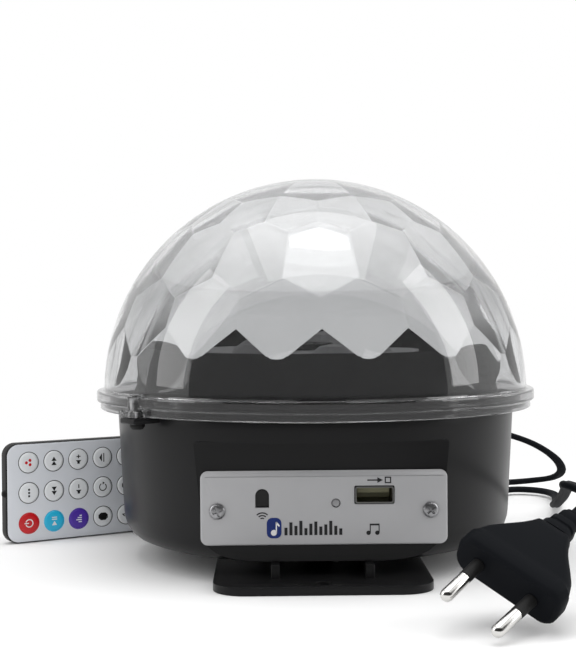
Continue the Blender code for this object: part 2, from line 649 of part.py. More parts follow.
def build_lights():
    base = DECK_LOW_Z + DECK_T + GAP
    thick = 1.2 * MM
    ring = [outline_circle(0.0, 0.0, LIGHT_OUT_R, 28), outline_circle(0.0, 0.0, LIGHT_IN_R, 16)]
    plate("heat_spreader", ring, thick, "steel", at=(0.0, 0.0, base + thick / 2.0))
    second = base + thick + GAP
    plate("led_board", ring, thick, "white", at=(0.0, 0.0, second + thick / 2.0))
    top = second + thick
    low, high = top + 2.5 * MM, top + 7.6 * MM
    web = 1.0 * MM
    tray_lines = [outline_circle(0.0, 0.0, LIGHT_RING_R + 7.0 * MM, 28),
                  outline_circle(0.0, 0.0, LIGHT_IN_R + MM, 16)]
    tray = plate("led_collimators", tray_lines, web, "clear", at=(0.0, 0.0, high - web / 2.0))
    for i in range(LIGHTS):
        spot = around(LIGHT_RING_R, 360.0 * i / LIGHTS)
        half = 2.6 * MM
        box(f"led_package_{i + 1}", (spot.x - half, spot.y - half, top + GAP / 3.0),
            (spot.x + half, spot.y + half, top + 2.2 * MM), "white", bevel=GAP)
        horn = rod("horn", (spot.x, spot.y, low), (spot.x, spot.y, high + GAP / 2.0), 2.6 * MM, sides=12,
                   end_radius=6.2 * MM)
        combine(tray, horn, "UNION")


def build_rotor():
    mid = ROTOR_Z + ROTOR_T / 2.0
    spots = [around(ROTOR_RING_R, 360.0 * i / ROTOR_LENSES) for i in range(ROTOR_LENSES)]
    lines = [outline_circle(0.0, 0.0, ROTOR_R, 32), outline_circle(0.0, 0.0, HUB_R + GAP, 20)]
    lines += [outline_circle(s.x, s.y, ROTOR_LENS_R + GAP / 2.0, 14) for s in spots]
    plate("rotor_disc", lines, ROTOR_T, "black_soft", at=(0.0, 0.0, mid))
    low = ROTOR_Z + ROTOR_T + GAP
    web = 1.2 * MM
    lines = [outline_circle(0.0, 0.0, ROTOR_R - 3.0 * MM, 32), outline_circle(0.0, 0.0, HUB_R + GAP, 20)]
    lens_plate = plate("rotor_lenses", lines, web, "clear", at=(0.0, 0.0, low + web / 2.0))
    for s in spots:
        profile = [(0.0, low + web + 2.6 * MM), (ROTOR_LENS_R * 0.5, low + web + 2.0 * MM),
                   (ROTOR_LENS_R, low + web * 0.6), (ROTOR_LENS_R * 0.9, low + web * 0.4),
                   (0.0, low + web * 0.4)]
        combine(lens_plate, lathe("lens", profile, steps=14, centre=(s.x, s.y)), "UNION")
    bore = SHAFT_R + GAP / 6.0
    shelf = ROTOR_Z - GAP
    profile = [(bore, ROTOR_Z + 5.0 * MM), (HUB_R, ROTOR_Z + 5.0 * MM), (HUB_R, shelf),
               (HUB_R + 4.0 * MM, shelf), (HUB_R + 4.0 * MM, shelf - 1.4 * MM), (HUB_R, shelf - 1.4 * MM),
               (HUB_R, shelf - 6.0 * MM), (bore, shelf - 6.0 * MM)]
    lathe("rotor_hub", profile, "white", steps=16, ring=True)
    chamfer = GAP
    lathe("motor_shaft", [(0.0, SHAFT_TOP_Z), (SHAFT_R - chamfer, SHAFT_TOP_Z),
                          (SHAFT_R, SHAFT_TOP_Z - chamfer), (SHAFT_R, SHAFT_LOW_Z), (0.0, SHAFT_LOW_Z)],
          "steel", steps=16)


def build_motor():
    top = DECK_LOW_Z - GAP
    body = lathe("motor_body", [(0.0, top), (MOTOR_R, top), (MOTOR_R, MOTOR_LOW_Z + MM),
                                (MOTOR_R - MM, MOTOR_LOW_Z), (0.0, MOTOR_LOW_Z)], "steel", steps=28)
    half = MOTOR_EAR_X + 3.5 * MM
    ear = plate("ears", [outline_round(0.0, 0.0, 2.0 * half, 7.0 * MM, 3.2 * MM, 4)], MM,
                at=(0.0, 0.0, top - MM))
    combine(body, ear, "UNION")
    combine(body, rod("bore", (0.0, 0.0, SHAFT_LOW_Z - GAP), (0.0, 0.0, top + MM), SHAFT_R + 0.05 * MM,
                      sides=16))
    for side, where in ((-1.0, "left"), (1.0, "right")):
        x = side * MOTOR_EAR_X
        combine(body, rod("hole", (x, 0.0, top - 3.0 * MM), (x, 0.0, top + MM), POST_HOLE_R, sides=8))
        screw = small_screw((x, 0.0), top - 1.5 * MM - GAP / 3.0, 3.0 * MM, up=-1.0)
        keep(screw, "motor_screw_" + where, "steel")


def build_boards():
    low = BOARD_POST_TOP + GAP
    spots = [(x, y) for x in (-SUPPLY_X1, -SUPPLY_X0) for y in (SUPPLY_Y0, SUPPLY_Y1)]
    cx, cy = -(SUPPLY_X0 + SUPPLY_X1) / 2.0, (SUPPLY_Y0 + SUPPLY_Y1) / 2.0
    edge = outline_round(cx, cy, SUPPLY_X1 - SUPPLY_X0 + 8.0 * MM, SUPPLY_Y1 - SUPPLY_Y0 + 8.0 * MM,
                         2.0 * MM, 2)
    holes = [outline_circle(x, y, POST_HOLE_R, 10) for x, y in spots]
    plate("power_board", [edge] + holes, BOARD_T, "board", at=(0.0, 0.0, low + BOARD_T / 2.0))
    top = low + BOARD_T + GAP / 3.0
    box("transformer", (cx - 9.0 * MM, cy - 6.0 * MM, top),
        (cx + 13.0 * MM, cy + 12.0 * MM, top + 17.0 * MM), "brass", bevel=MM)
    x, y = cx - 9.0 * MM, cy - 12.5 * MM
    lathe("capacitor", [(0.0, top + 15.0 * MM), (4.4 * MM, top + 15.0 * MM), (5.0 * MM, top + 14.4 * MM),
                        (5.0 * MM, top), (0.0, top)], "black", steps=20, centre=(x, y))
    spots = [(side * PLAYER_POST_X, PLAYER_POST_Y) for side in (-1.0, 1.0)]
    deep = PLAYER_POST_Y + 4.0 * MM - PLAYER_FRONT_Y
    edge = outline_round(0.0, PLAYER_FRONT_Y + deep / 2.0, 2.0 * PLAYER_POST_X + 10.0 * MM, deep, 1.5 * MM,
                         2)
    holes = [outline_circle(x, y, POST_HOLE_R, 10) for x, y in spots]
    plate("player_board", [edge] + holes, BOARD_T, "board", at=(0.0, 0.0, PLAYER_Z + BOARD_T / 2.0))
    top = PLAYER_Z + BOARD_T + GAP / 3.0
    half = 4.5 * MM
    box("player_chip", (-2.0 * half, -44.0 * MM - half, top), (0.0, -44.0 * MM + half, top + 1.6 * MM),
        "black")


def facing_back(obj, y, z):
    obj.rotation_euler.x = -TURN / 4.0
    obj.location = (0.0, y, z)
    return baked(obj)


def build_speaker():
    thick = SPEAKER_T
    holes = [outline_circle(side * SPEAKER_SCREW_X, 0.0, POST_HOLE_R, 10) for side in (-1.0, 1.0)]
    edge = outline_round(0.0, 0.0, SPEAKER_W, SPEAKER_H, 6.0 * MM, 4)
    frame = plate("speaker_frame", [edge, outline_circle(0.0, 0.0, CONE_R + GAP, 28)] + holes, thick,
                  "black",
                  at=(0.0, 0.0, thick / 2.0))
    deep = 12.0 * MM
    basket = lathe("basket", [(CONE_R + GAP, thick / 2.0), (CONE_R + 2.2 * MM, thick / 2.0),
                              (13.0 * MM, -deep), (5.0 * MM, -deep), (5.0 * MM, -deep + 1.2 * MM),
                              (12.0 * MM, -deep + 1.2 * MM)], steps=28, ring=True)
    combine(frame, basket, "UNION")
    facing_back(frame, SPEAKER_Y, SPEAKER_Z)
    cone = lathe("speaker_cone", [(0.0, -5.4 * MM), (5.0 * MM, -6.4 * MM),
                                  (CONE_R - 1.0 * MM, thick - 0.6 * MM), (CONE_R, thick - 0.6 * MM),
                                  (CONE_R, thick - 1.0 * MM), (5.0 * MM, -7.4 * MM),
                                  (4.6 * MM, -deep + GAP), (0.0, -deep + GAP)], "paper", steps=28)
    facing_back(cone, SPEAKER_Y, SPEAKER_Z)
    low = -deep - GAP
    magnet = lathe("speaker_magnet", [(0.0, low), (12.0 * MM, low), (12.0 * MM, low - 7.0 * MM),
                                      (0.0, low - 7.0 * MM)], "steel", steps=28)
    facing_back(magnet, SPEAKER_Y, SPEAKER_Z)
    for side, where in ((-1.0, "left"), (1.0, "right")):
        screw = small_screw((0.0, 0.0), 0.0, 4.4 * MM)
        screw.rotation_euler.x = TURN / 4.0
        screw.location = (side * SPEAKER_SCREW_X, SPEAKER_Y - GAP / 3.0, SPEAKER_Z)
        keep(baked(screw), "speaker_screw_" + where, "steel")


def build_foot():
    ends = (-FOOT_HOLE_Y, FOOT_HOLE_Y)
    holes = [outline_circle(0.0, y, FOOT_HOLE_R, 20) for y in ends]
    edge = outline_round(0.0, 0.0, FOOT_W, 2.0 * FOOT_REACH, FOOT_ROUND, 6)
    foot = plate("foot_bracket", [edge] + holes, FOOT_T, "black", at=(0.0, 0.0, FOOT_T / 2.0))
    top = HOUSE_LOW_Z - GAP
    for side in (-1.0, 1.0):
        x = side * FOOT_RIB_X
        rib = box("rib", (x - FOOT_RIB_W / 2.0, -FOOT_RIB_OUT, FOOT_T / 2.0),
                  (x + FOOT_RIB_W / 2.0, FOOT_RIB_OUT, top))
        combine(foot, rib, "UNION")
    for y, where in ((-FOOT_SCREW_Y, "front"), (FOOT_SCREW_Y, "back")):
        combine(foot, rod("boss", (0.0, y, FOOT_T / 2.0), (0.0, y, top), 4.5 * MM, sides=16), "UNION")
        combine(foot, rod("hole", (0.0, y, -MM), (0.0, y, HOUSE_LOW_Z), FOOT_SCREW_R + GAP / 2.0, sides=12))
        combine(foot, rod("seat", (0.0, y, -MM), (0.0, y, 2.2 * MM), FOOT_HEAD_R + GAP, sides=16))
        profile = [(0.0, 11.5 * MM), (FOOT_SCREW_R, 10.6 * MM), (FOOT_SCREW_R, 2.1 * MM),
                   (FOOT_HEAD_R, 2.1 * MM), (FOOT_HEAD_R, 0.6 * MM), (FOOT_HEAD_R * 0.8, GAP), (0.0, GAP)]
        lathe("foot_screw_" + where, profile, "steel", steps=16, centre=(0.0, y))


# Mains lead: two free stretches, the put-away coil between them, its tie, and the plug
def smooth(route, step):
    """Points a step apart along a smooth curve through the route's points."""
    pts = [np.array(p) for p in route]
    pts = [2.0 * pts[0] - pts[1]] + pts + [2.0 * pts[-1] - pts[-2]]
    fine = []
    for i in range(1, len(pts) - 2):
        p0, p1, p2, p3 = pts[i - 1:i + 3]
        for t in np.linspace(0.0, 1.0, 40, endpoint=False):
            fine.append(0.5 * (2.0 * p1 + (p2 - p0) * t + (2.0 * p0 - 5.0 * p1 + 4.0 * p2 - p3) * t ** 2
                               + (3.0 * p1 - p0 - 3.0 * p2 + p3) * t ** 3))
    fine = np.array(fine + [pts[-2]])
    run = np.concatenate([[0.0], np.cumsum(np.linalg.norm(np.diff(fine, axis=0), axis=1))])
    count = max(2, int(round(run[-1] / step)))
    even = np.linspace(0.0, run[-1], count + 1)
    return np.stack([np.interp(even, run, fine[:, k]) for k in range(3)], 1)


def tube(name, points, radius, mat, sides_half=2):
    curve = bpy.data.curves.new(name, "CURVE")
    curve.dimensions = "3D"
    curve.bevel_depth = radius
    curve.bevel_resolution = sides_half
    curve.use_fill_caps = True
    line = curve.splines.new("POLY")
    line.points.add(len(points) - 1)
    for spot, p in zip(line.points, points):
        spot.co = (p[0], p[1], p[2], 1.0)
    shape = bpy.data.objects.new(name + "_line", curve)
    bpy.context.scene.collection.objects.link(shape)
    bpy.context.view_layer.update()
    mesh = bpy.data.meshes.new_from_object(shape.evaluated_get(bpy.context.evaluated_depsgraph_get()))
    bpy.data.objects.remove(shape)
    bm = bmesh.new()
    bm.from_mesh(mesh)
    bmesh.ops.remove_doubles(bm, verts=bm.verts, dist=0.000005)
    return solid(bm, name, mat)


def coil_points():
    """Two loops inward on the floor, a half turn up at the inside, two loops outward on top."""
    out_r = COIL_IN_R + 2.0 * COIL_STEP
    start = TURN / 4.0
    pts = []
    for i in range(4 * LOOP_POINTS + LOOP_POINTS // 2 + 1):
        turn = i / LOOP_POINTS
        if turn <= 2.0:
            r, z = out_r - COIL_STEP * turn, 0.0
        elif turn <= 2.5:
            share = (turn - 2.0) / 0.5
            r = COIL_IN_R - COIL_DIP * math.sin(TURN / 2.0 * share)
            z = COIL_STEP * (0.5 - 0.5 * math.cos(TURN / 2.0 * share))
        else:
            r, z = COIL_IN_R + COIL_STEP * (turn - 2.5), COIL_STEP
        a = start + TURN * turn
        pts.append((COIL_X + r * math.cos(a), COIL_Y + r * math.sin(a), COIL_LOW_Z + z))
    first, last = np.array(pts[0]), np.array(pts[-1])
    lead = np.array((2.0 * CORD_R, 0.0, 0.0))
    return [tuple(first + lead)] + pts + [tuple(last + lead)]


def least_self_gap(pts, radius):
    pts = np.array(pts)
    run = np.concatenate([[0.0], np.cumsum(np.linalg.norm(np.diff(pts, axis=0), axis=1))])
    apart = np.linalg.norm(pts[:, None] - pts[None, :], axis=2)
    far = np.abs(run[:, None] - run[None, :]) > 8.0 * radius
    return float(apart[far].min() - 2.0 * radius)


def lead_route():
    way = around(1.0, GLAND_AT_DEG)
    start = around(HOUSE_TOP_R, GLAND_AT_DEG, GLAND_Z) + way * (2.4 * MM + GLAND_TAPER + GAP)
    coil = coil_points()
    end = np.array(coil[0]) + np.array((GAP, 0.0, 0.0))
    spots = ((63.0, 104.0, 37.0), (78.0, 111.0, 36.5), (94.0, 113.5, 33.0), (108.0, 115.0, 28.0),
             (119.0, 119.0, 21.0), (124.5, 127.0, 14.0), (123.0, 137.0, 9.0), (114.0, 147.0, 6.0),
             (97.0, 155.0, 3.8), (70.0, 160.5, 2.9), (40.0, 163.0, 3.2))
    route = [tuple(start), tuple(start + way * 2.0 * CORD_R)] + [tuple(c * MM for c in s) for s in spots]
    return route + [tuple(end + np.array((2.0 * CORD_R, 0.0, 0.0))), tuple(end)]


def tail_route():
    start = np.array(coil_points()[-1]) + np.array((GAP, 0.0, 0.0))
    frame = plug_frame()
    back = PLUG_LONG + RELIEF_LONG + 2.0 * GAP
    ends = [tuple(frame @ Vector((0.0, 0.0, -(back + out * CORD_R)))) for out in (6.0, 2.0, 0.0)]
    spots = ((30.0, 101.0, 6.4), (52.0, 99.0, 3.0), (68.0, 101.0, 2.6), (80.0, 109.0, 2.6),
             (87.5, 122.0, 2.6), (95.0, 134.0, 2.6), (105.0, 140.0, 2.6), (115.0, 135.0, 2.6),
             (119.5, 122.0, 2.6), (116.5, 102.0, 2.6), (108.0, 68.0, 6.0), (101.5, 34.0, 12.0),
             (96.5, 2.0, 19.5), (90.5, -30.0, 27.0), (83.5, -62.0, 33.0))
    route = [tuple(start), tuple(start + np.array((2.0 * CORD_R, 0.0, 0.0)))]
    return route + [tuple(c * MM for c in s) for s in spots] + ends


def build_cord():
    way = around(1.0, GLAND_AT_DEG)
    face = HOUSE_TOP_R + 0.4 * MM
    profile = [(0.0, GLAND_TAPER + 2.0 * MM), (CORD_R + 0.5 * MM, GLAND_TAPER + 2.0 * MM),
               (GLAND_R, 2.0 * MM), (GLAND_R + 2.2 * MM, 1.8 * MM), (GLAND_R + 2.2 * MM, 0.0),
               (GLAND_R, 0.0), (GLAND_R, -5.0 * MM), (0.0, -5.0 * MM)]
    gland = lathe("cord_gland", profile, "black", steps=16)
    gland.matrix_world = (Matrix.Translation(way * face + Vector((0.0, 0.0, GLAND_Z)))
                          @ way.to_track_quat("Z", "Y").to_matrix().to_4x4())
    baked(gland)
    gland.matrix_world = Matrix.Identity(4)
    tube("cord_lead", smooth(lead_route(), 5.0 * CORD_R), CORD_R, "black")
    coil = coil_points()
    print("least gap of the coil to itself, mm:", round(least_self_gap(coil, CORD_R) / MM, 2))
    tube("cord_coil", coil, CORD_R, "black", sides_half=1)
    tube("cord_tail", smooth(tail_route(), 5.0 * CORD_R), CORD_R, "black")
    low, high = COIL_LOW_Z - CORD_R - GAP, COIL_LOW_Z + COIL_STEP + CORD_R + GAP
    near, far = COIL_IN_R - COIL_DIP - CORD_R - GAP, COIL_IN_R + 2.0 * COIL_STEP + CORD_R + GAP
    mid_x, mid_z = COIL_X - (near + far) / 2.0, (low + high) / 2.0
    lines = [outline_round(mid_x, mid_z, far - near + 2.0 * TIE_T, high - low + 2.0 * TIE_T, 3.0 * MM, 3),
             outline_round(mid_x, mid_z, far - near, high - low, 2.0 * MM, 3)]
    plate("coil_tie", lines, TIE_W, "black_soft", at=(0.0, COIL_Y, 0.0), upright=True)


def plug_frame():
    """The plug's place: Z points along the pins, X from one pin to the other, the origin is on the face."""
    z = Vector(PLUG_WAY).normalized()
    side = z.cross(Vector((0.0, 0.0, 1.0))).normalized()
    up = side.cross(z)
    x = side * math.sqrt(1.0 - PLUG_TILT_SHARE ** 2) + up * PLUG_TILT_SHARE
    y = z.cross(x)
    turn = Matrix((x, y, z)).transposed().to_4x4()
    return Matrix.Translation(Vector(PLUG_AT)) @ turn


def settled(obj, frame):
    obj.matrix_world = frame
    baked(obj)
    obj.matrix_world = Matrix.Identity(4)
    return obj


def build_plug():
    frame = plug_frame()
    widths = ((0.0, 0.92), (0.05, 1.0), (0.26, 1.0), (0.42, 0.9), (0.64, 0.66), (0.86, 0.42), (1.0, 0.37))
    half = PLUG_W / 2.0
    side = [(half * share, -along * PLUG_LONG) for along, share in widths]
    edge = side + [(-x, y) for x, y in reversed(side)]
    body = plate("plug_body", [edge], PLUG_T, "black")
    bev = body.modifiers.new("round", "BEVEL")
    bev.width = PLUG_ROUND
    bev.segments = 3
    bev.limit_method = "ANGLE"
    bev.angle_limit = math.radians(60.0)
    baked(body)
    body.matrix_world = Matrix.Rotation(TURN / 4.0, 4, "X")
    baked(body)
    body.matrix_world = Matrix.Identity(4)
    settled(body, frame)
    profile = [(0.0, -PLUG_LONG - GAP)]
    for i in range(RELIEF_RIBS):
        top = -PLUG_LONG - GAP - RELIEF_LONG * i / RELIEF_RIBS
        low = top - RELIEF_LONG * 0.62 / RELIEF_RIBS
        r = RELIEF_R - (RELIEF_R - CORD_R) * 0.72 * i / RELIEF_RIBS
        neck = r - 3.0 * GAP
        profile += [(r, top), (r - GAP, low), (neck, low), (neck, top - RELIEF_LONG / RELIEF_RIBS)]
    profile.append((0.0, -PLUG_LONG - GAP - RELIEF_LONG))
    profile = [(r, z + GAP / 2.0 if z < -PLUG_LONG - RELIEF_LONG else z) for r, z in profile]
    settled(lathe("plug_relief", profile, "black", steps=12), frame)
    for sign, where in ((-1.0, "upper"), (1.0, "lower")):
        lean = Matrix.Rotation(-sign * 0.025, 4, "Y")
        spot = frame @ Matrix.Translation((sign * PIN_HALF, 0.0, 0.0)) @ lean
        core = PIN_R * 0.72
        sleeve = lathe("sleeve", [(core + 0.1 * MM, SLEEVE_LONG), (PIN_R, SLEEVE_LONG), (PIN_R, GAP),
                                  (core + 0.1 * MM, GAP)], steps=14, ring=True)
        keep(settled(sleeve, spot), "pin_sleeve_" + where, "black_soft")
        pin = lathe("pin", [(0.0, PIN_LONG), (PIN_R * 0.6, PIN_LONG - 0.3 * MM),
                            (PIN_R, PIN_LONG - 1.6 * MM), (PIN_R, SLEEVE_LONG + GAP / 2.0),
                            (core, SLEEVE_LONG + GAP / 2.0), (core, GAP), (0.0, GAP)], steps=14)
        keep(settled(pin, spot), "plug_pin_" + where, "steel")


# Card remote: local X along the card from its top end, Y across it, Z out of its printed face
def card_frame():
    a = math.radians(CARD_TURN_DEG)
    x = Vector((math.cos(a), math.sin(a), 0.0))
    z = Vector((math.sin(a), -math.cos(a), 0.0))
    turn = Matrix((x, Vector((0.0, 0.0, 1.0)), z)).transposed().to_4x4()
    spot = -x * (CARD_L + CARD_PAST) - z * CARD_OFF + Vector((0.0, 0.0, CARD_UP))
    return Matrix.Translation(spot) @ turn


def build_remote():
    frame = card_frame()
    mid_x, mid_y = CARD_L / 2.0, CARD_W / 2.0
    deep = CARD_T - FILM_T - GAP / 3.0
    edge = outline_round(mid_x, mid_y, CARD_L, CARD_W, CARD_ROUND, 5)
    case = plate("remote_case", [edge], deep, "black", at=(0.0, 0.0, -CARD_T + deep / 2.0))
    inner = outline_round(mid_x, mid_y, CARD_L - 2.0 * CARD_WALL, CARD_W - 2.0 * CARD_WALL,
                          CARD_ROUND - CARD_WALL, 4)
    combine(case, plate("pocket", [inner], CARD_T, at=(0.0, 0.0, -CARD_T + CARD_WALL + CARD_T / 2.0)))
    floor = -CARD_T + CARD_WALL
    slot = box("slot", (CARD_L - 2.0 * CARD_WALL, mid_y - TRAY_W / 2.0 - GAP, floor),
               (CARD_L + MM, mid_y + TRAY_W / 2.0 + GAP, floor + TRAY_T + 2.0 * GAP))
    combine(case, slot)
    nose_z = floor + 2.7 * MM
    combine(case, rod("eye_hole", (-MM, mid_y, nose_z), (2.0 * CARD_WALL, mid_y, nose_z), 1.9 * MM,
                      sides=16))
    settled(case, frame)
    film = plate("remote_face", [edge], FILM_T, "white", at=(0.0, 0.0, -FILM_T / 2.0))
    low = -FILM_T / 2.0
    profile = [(0.0, KEY_RISE), (KEY_R * 0.85, KEY_RISE), (KEY_R, 0.0), (KEY_R, low), (0.0, low)]
    for row in range(7):
        for col in range(3):
            x, y = KEY_X + KEY_STEP_X * row, mid_y + KEY_STEP_Y * (col - 1)
            combine(film, lathe("key", profile, steps=12, centre=(x, y)), "UNION")
    settled(film, frame)
    nose = lathe("remote_emitter", [(0.0, 6.2 * MM), (1.0 * MM, 6.0 * MM), (1.6 * MM, 5.0 * MM),
                                    (1.6 * MM, 0.0), (0.0, 0.0)], "clear", steps=14)
    nose.matrix_world = Matrix.Translation((5.0 * MM, mid_y, nose_z)) @ Matrix.Rotation(-TURN / 4.0, 4, "Y")
    baked(nose)
    settled(nose, frame)
    board_top = -FILM_T - 2.0 * GAP
    board_l, board_w = CARD_L - 5.4 * MM - CARD_WALL - MM, CARD_W - 2.0 * CARD_WALL - 2.0 * MM
    edge = outline_round(5.4 * MM + board_l / 2.0, mid_y, board_l, board_w, 3.2 * MM, 3)
    board = plate("remote_board", [edge], 0.8 * MM, "board", at=(0.0, 0.0, board_top - 0.4 * MM))
    settled(board, frame)
    x0, x1 = CARD_L - TRAY_L, CARD_L - GAP / 3.0
    tray = box("remote_battery_tray", (x0, mid_y - TRAY_W / 2.0, floor + GAP / 3.0),
               (x1, mid_y + TRAY_W / 2.0, floor + GAP / 3.0 + TRAY_T), "black")
    cell_x = (x0 + x1) / 2.0 - 0.4 * MM
    cell_low = floor + 0.8 * MM
    well = rod("well", (cell_x, mid_y, cell_low - GAP / 3.0), (cell_x, mid_y, 0.0), CELL_R + GAP / 2.0,
               sides=20)
    combine(tray, well)
    settled(tray, frame)
    cell = lathe("remote_battery", [(0.0, cell_low + CELL_T), (CELL_R * 0.93, cell_low + CELL_T),
                                    (CELL_R, cell_low + CELL_T - GAP), (CELL_R, cell_low), (0.0, cell_low)],
                 "steel", steps=20, centre=(cell_x, mid_y))
    settled(cell, frame)


reset()
build_dome()
build_housing()
build_panel()
build_deck()
build_lights()
build_rotor()
build_motor()
build_boards()
build_speaker()
build_foot()
build_cord()
build_plug()
build_remote()
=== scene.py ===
"""Looks of the led disco ball light: faceted dome, black housing, control plate, lead, plug and remote."""
import math

import bmesh
import bpy
from mathutils import Matrix, Vector


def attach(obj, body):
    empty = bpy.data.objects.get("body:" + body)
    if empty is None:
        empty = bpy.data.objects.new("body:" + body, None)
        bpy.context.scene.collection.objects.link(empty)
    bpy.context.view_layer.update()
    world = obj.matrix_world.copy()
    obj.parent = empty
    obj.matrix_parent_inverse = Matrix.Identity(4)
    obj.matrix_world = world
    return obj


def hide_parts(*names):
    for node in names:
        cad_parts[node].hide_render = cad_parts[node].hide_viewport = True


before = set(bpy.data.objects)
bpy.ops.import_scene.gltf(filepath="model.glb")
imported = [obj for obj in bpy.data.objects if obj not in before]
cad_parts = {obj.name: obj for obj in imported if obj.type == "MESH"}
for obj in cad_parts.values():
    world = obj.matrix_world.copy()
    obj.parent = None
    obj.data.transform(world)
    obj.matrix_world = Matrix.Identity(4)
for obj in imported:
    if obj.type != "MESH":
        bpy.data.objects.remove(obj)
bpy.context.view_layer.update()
MM = 0.001
TURN = 2.0 * math.pi


# Camera at the photograph's height and angle
PHOTO_TALL, FOCAL_PX, SENSOR = 650, 1295.0, 36.0
EYE_AT, EYE_PAN, EYE_DIP, EYE_ROLL = (-18.0 * MM, -500.0 * MM, 94.4 * MM), -0.9, 0.84, -0.4
eye = bpy.data.cameras.new("eye")
eye.lens = FOCAL_PX * SENSOR / PHOTO_TALL
eye.sensor_width = SENSOR
camera = bpy.data.objects.new("camera", eye)
bpy.context.scene.collection.objects.link(camera)
pan, roll = (Matrix.Rotation(math.radians(angle), 4, "Z") for angle in (EYE_PAN, EYE_ROLL))
aim = pan @ Matrix.Rotation(math.radians(90.0 - EYE_DIP), 4, "X")
camera.matrix_world = Matrix.Translation(EYE_AT) @ aim @ roll
bpy.context.scene.camera = camera
bpy.context.scene.view_settings.view_transform = "Standard"


# Shader maths
class Wire:
    """A socket or a number whose sums become Math nodes."""

    def __init__(self, look, socket):
        self.look, self.socket = look, socket

    def math(self, kind, other):
        other = other.socket if isinstance(other, Wire) else other
        return self.look.add("ShaderNodeMath", {"operation": kind}, {0: self.socket, 1: other})

    def __add__(self, o): return self.math("ADD", o)
    def __radd__(self, o): return self.math("ADD", o)
    def __mul__(self, o): return self.math("MULTIPLY", o)
    def __rmul__(self, o): return self.math("MULTIPLY", o)


class Nodes:
    """A node tree being built: add() makes any node."""

    def __init__(self, tree):
        self.tree = tree

    def add(self, kind, settings, values, out=0):
        node = self.tree.nodes.new(kind)
        for key, value in settings.items():
            setattr(node, key, value)
        for key, value in values.items():
            if isinstance(value, Wire):
                value = value.socket
            if isinstance(value, bpy.types.NodeSocket):
                self.tree.links.new(value, node.inputs[key])
            else:
                node.inputs[key].default_value = value
        return Wire(self, node.outputs[out])

    def seen(self):
        """1 for what the camera sees, also through clear plastic and in reflections, 0 for other light."""
        rays = self.add("ShaderNodeLightPath", {}, {}, out="Is Camera Ray")
        for kind in ("Is Transmission Ray", "Is Glossy Ray"):
            rays = rays.math("MAXIMUM", self.add("ShaderNodeLightPath", {}, {}, out=kind))
        return rays


class Look(Nodes):
    """A material being built: link() feeds the surface, and show() puts another shader in its place."""

    def __init__(self, name, **fixed):
        self.mat = bpy.data.materials.new(name)
        self.mat.use_nodes = True
        super().__init__(self.mat.node_tree)
        self.skin = self.tree.nodes["Principled BSDF"]
        for key, value in fixed.items():
            self.skin.inputs[key.replace("_", " ")].default_value = value
        self.place = self.add("ShaderNodeTexCoord", {}, {}, out="Object")

    def link(self, wire, where):
        self.tree.links.new(wire.socket, self.skin.inputs[where])

    def show(self, shader):
        self.tree.links.new(shader.socket, self.tree.nodes["Material Output"].inputs[0])

    def noise(self, scale, detail=3.0, rough=0.55):
        return self.add("ShaderNodeTexNoise", {}, {"Vector": self.place, "Scale": scale, "Detail": detail,
                                                   "Roughness": rough})

    def mix(self, share, a, b):
        return self.add("ShaderNodeMix", {"data_type": "RGBA"}, {0: share, 6: a, 7: b}, out=2)

    def bump(self, height, strength, reach):
        self.link(self.add("ShaderNodeBump", {}, {"Strength": strength, "Distance": reach,
                                                  "Height": height}), "Normal")


def moulded(name, colour, rough, spread=0.06, grain=2600.0, depth=0.25, **fixed):
    """Moulded plastic: fine grain in the skin, slow drift in gloss and tone."""
    look = Look(name, **fixed)
    slow, fine = look.noise(38.0), look.noise(grain, 2.0)
    dark = tuple(c * 0.86 for c in colour) + (1.0,)
    look.link(look.mix(slow, dark, tuple(colour) + (1.0,)), "Base Color")
    look.link(slow * spread + fine * (spread * 0.6) + (rough - spread * 0.8), "Roughness")
    look.bump(fine, depth, 0.00004)
    return look.mat


def metal(name, colour, rough, streak=900.0):
    """Plated or bare metal: fine grain, slow drift in gloss and tone."""
    look = Look(name, Metallic=1.0)
    slow, fine = look.noise(90.0), look.noise(streak, 2.0)
    dull = tuple(c * 0.8 for c in colour) + (1.0,)
    look.link(look.mix(slow, dull, tuple(colour) + (1.0,)), "Base Color")
    look.link(slow * 0.08 + fine * 0.06 + (rough - 0.05), "Roughness")
    look.bump(fine, 0.12, 0.00002)
    return look.mat


# Heights on the dome, in metres: where the painted shade low down turns into painted light at the top, where
# the painted shade on the flange sets in, and the most that goes straight through
PAINTED_TOP_LIGHT_FROM, PAINTED_TOP_LIGHT_TO, RIM_SHADE_FROM, RIM_SHADE_TO = 0.096, 0.122, 0.0652, 0.0640
THIN_ZONES = ((0.088, 0.098, 0.14), (0.0645, 0.0625, 0.12), (0.114, 0.138, 0.12))


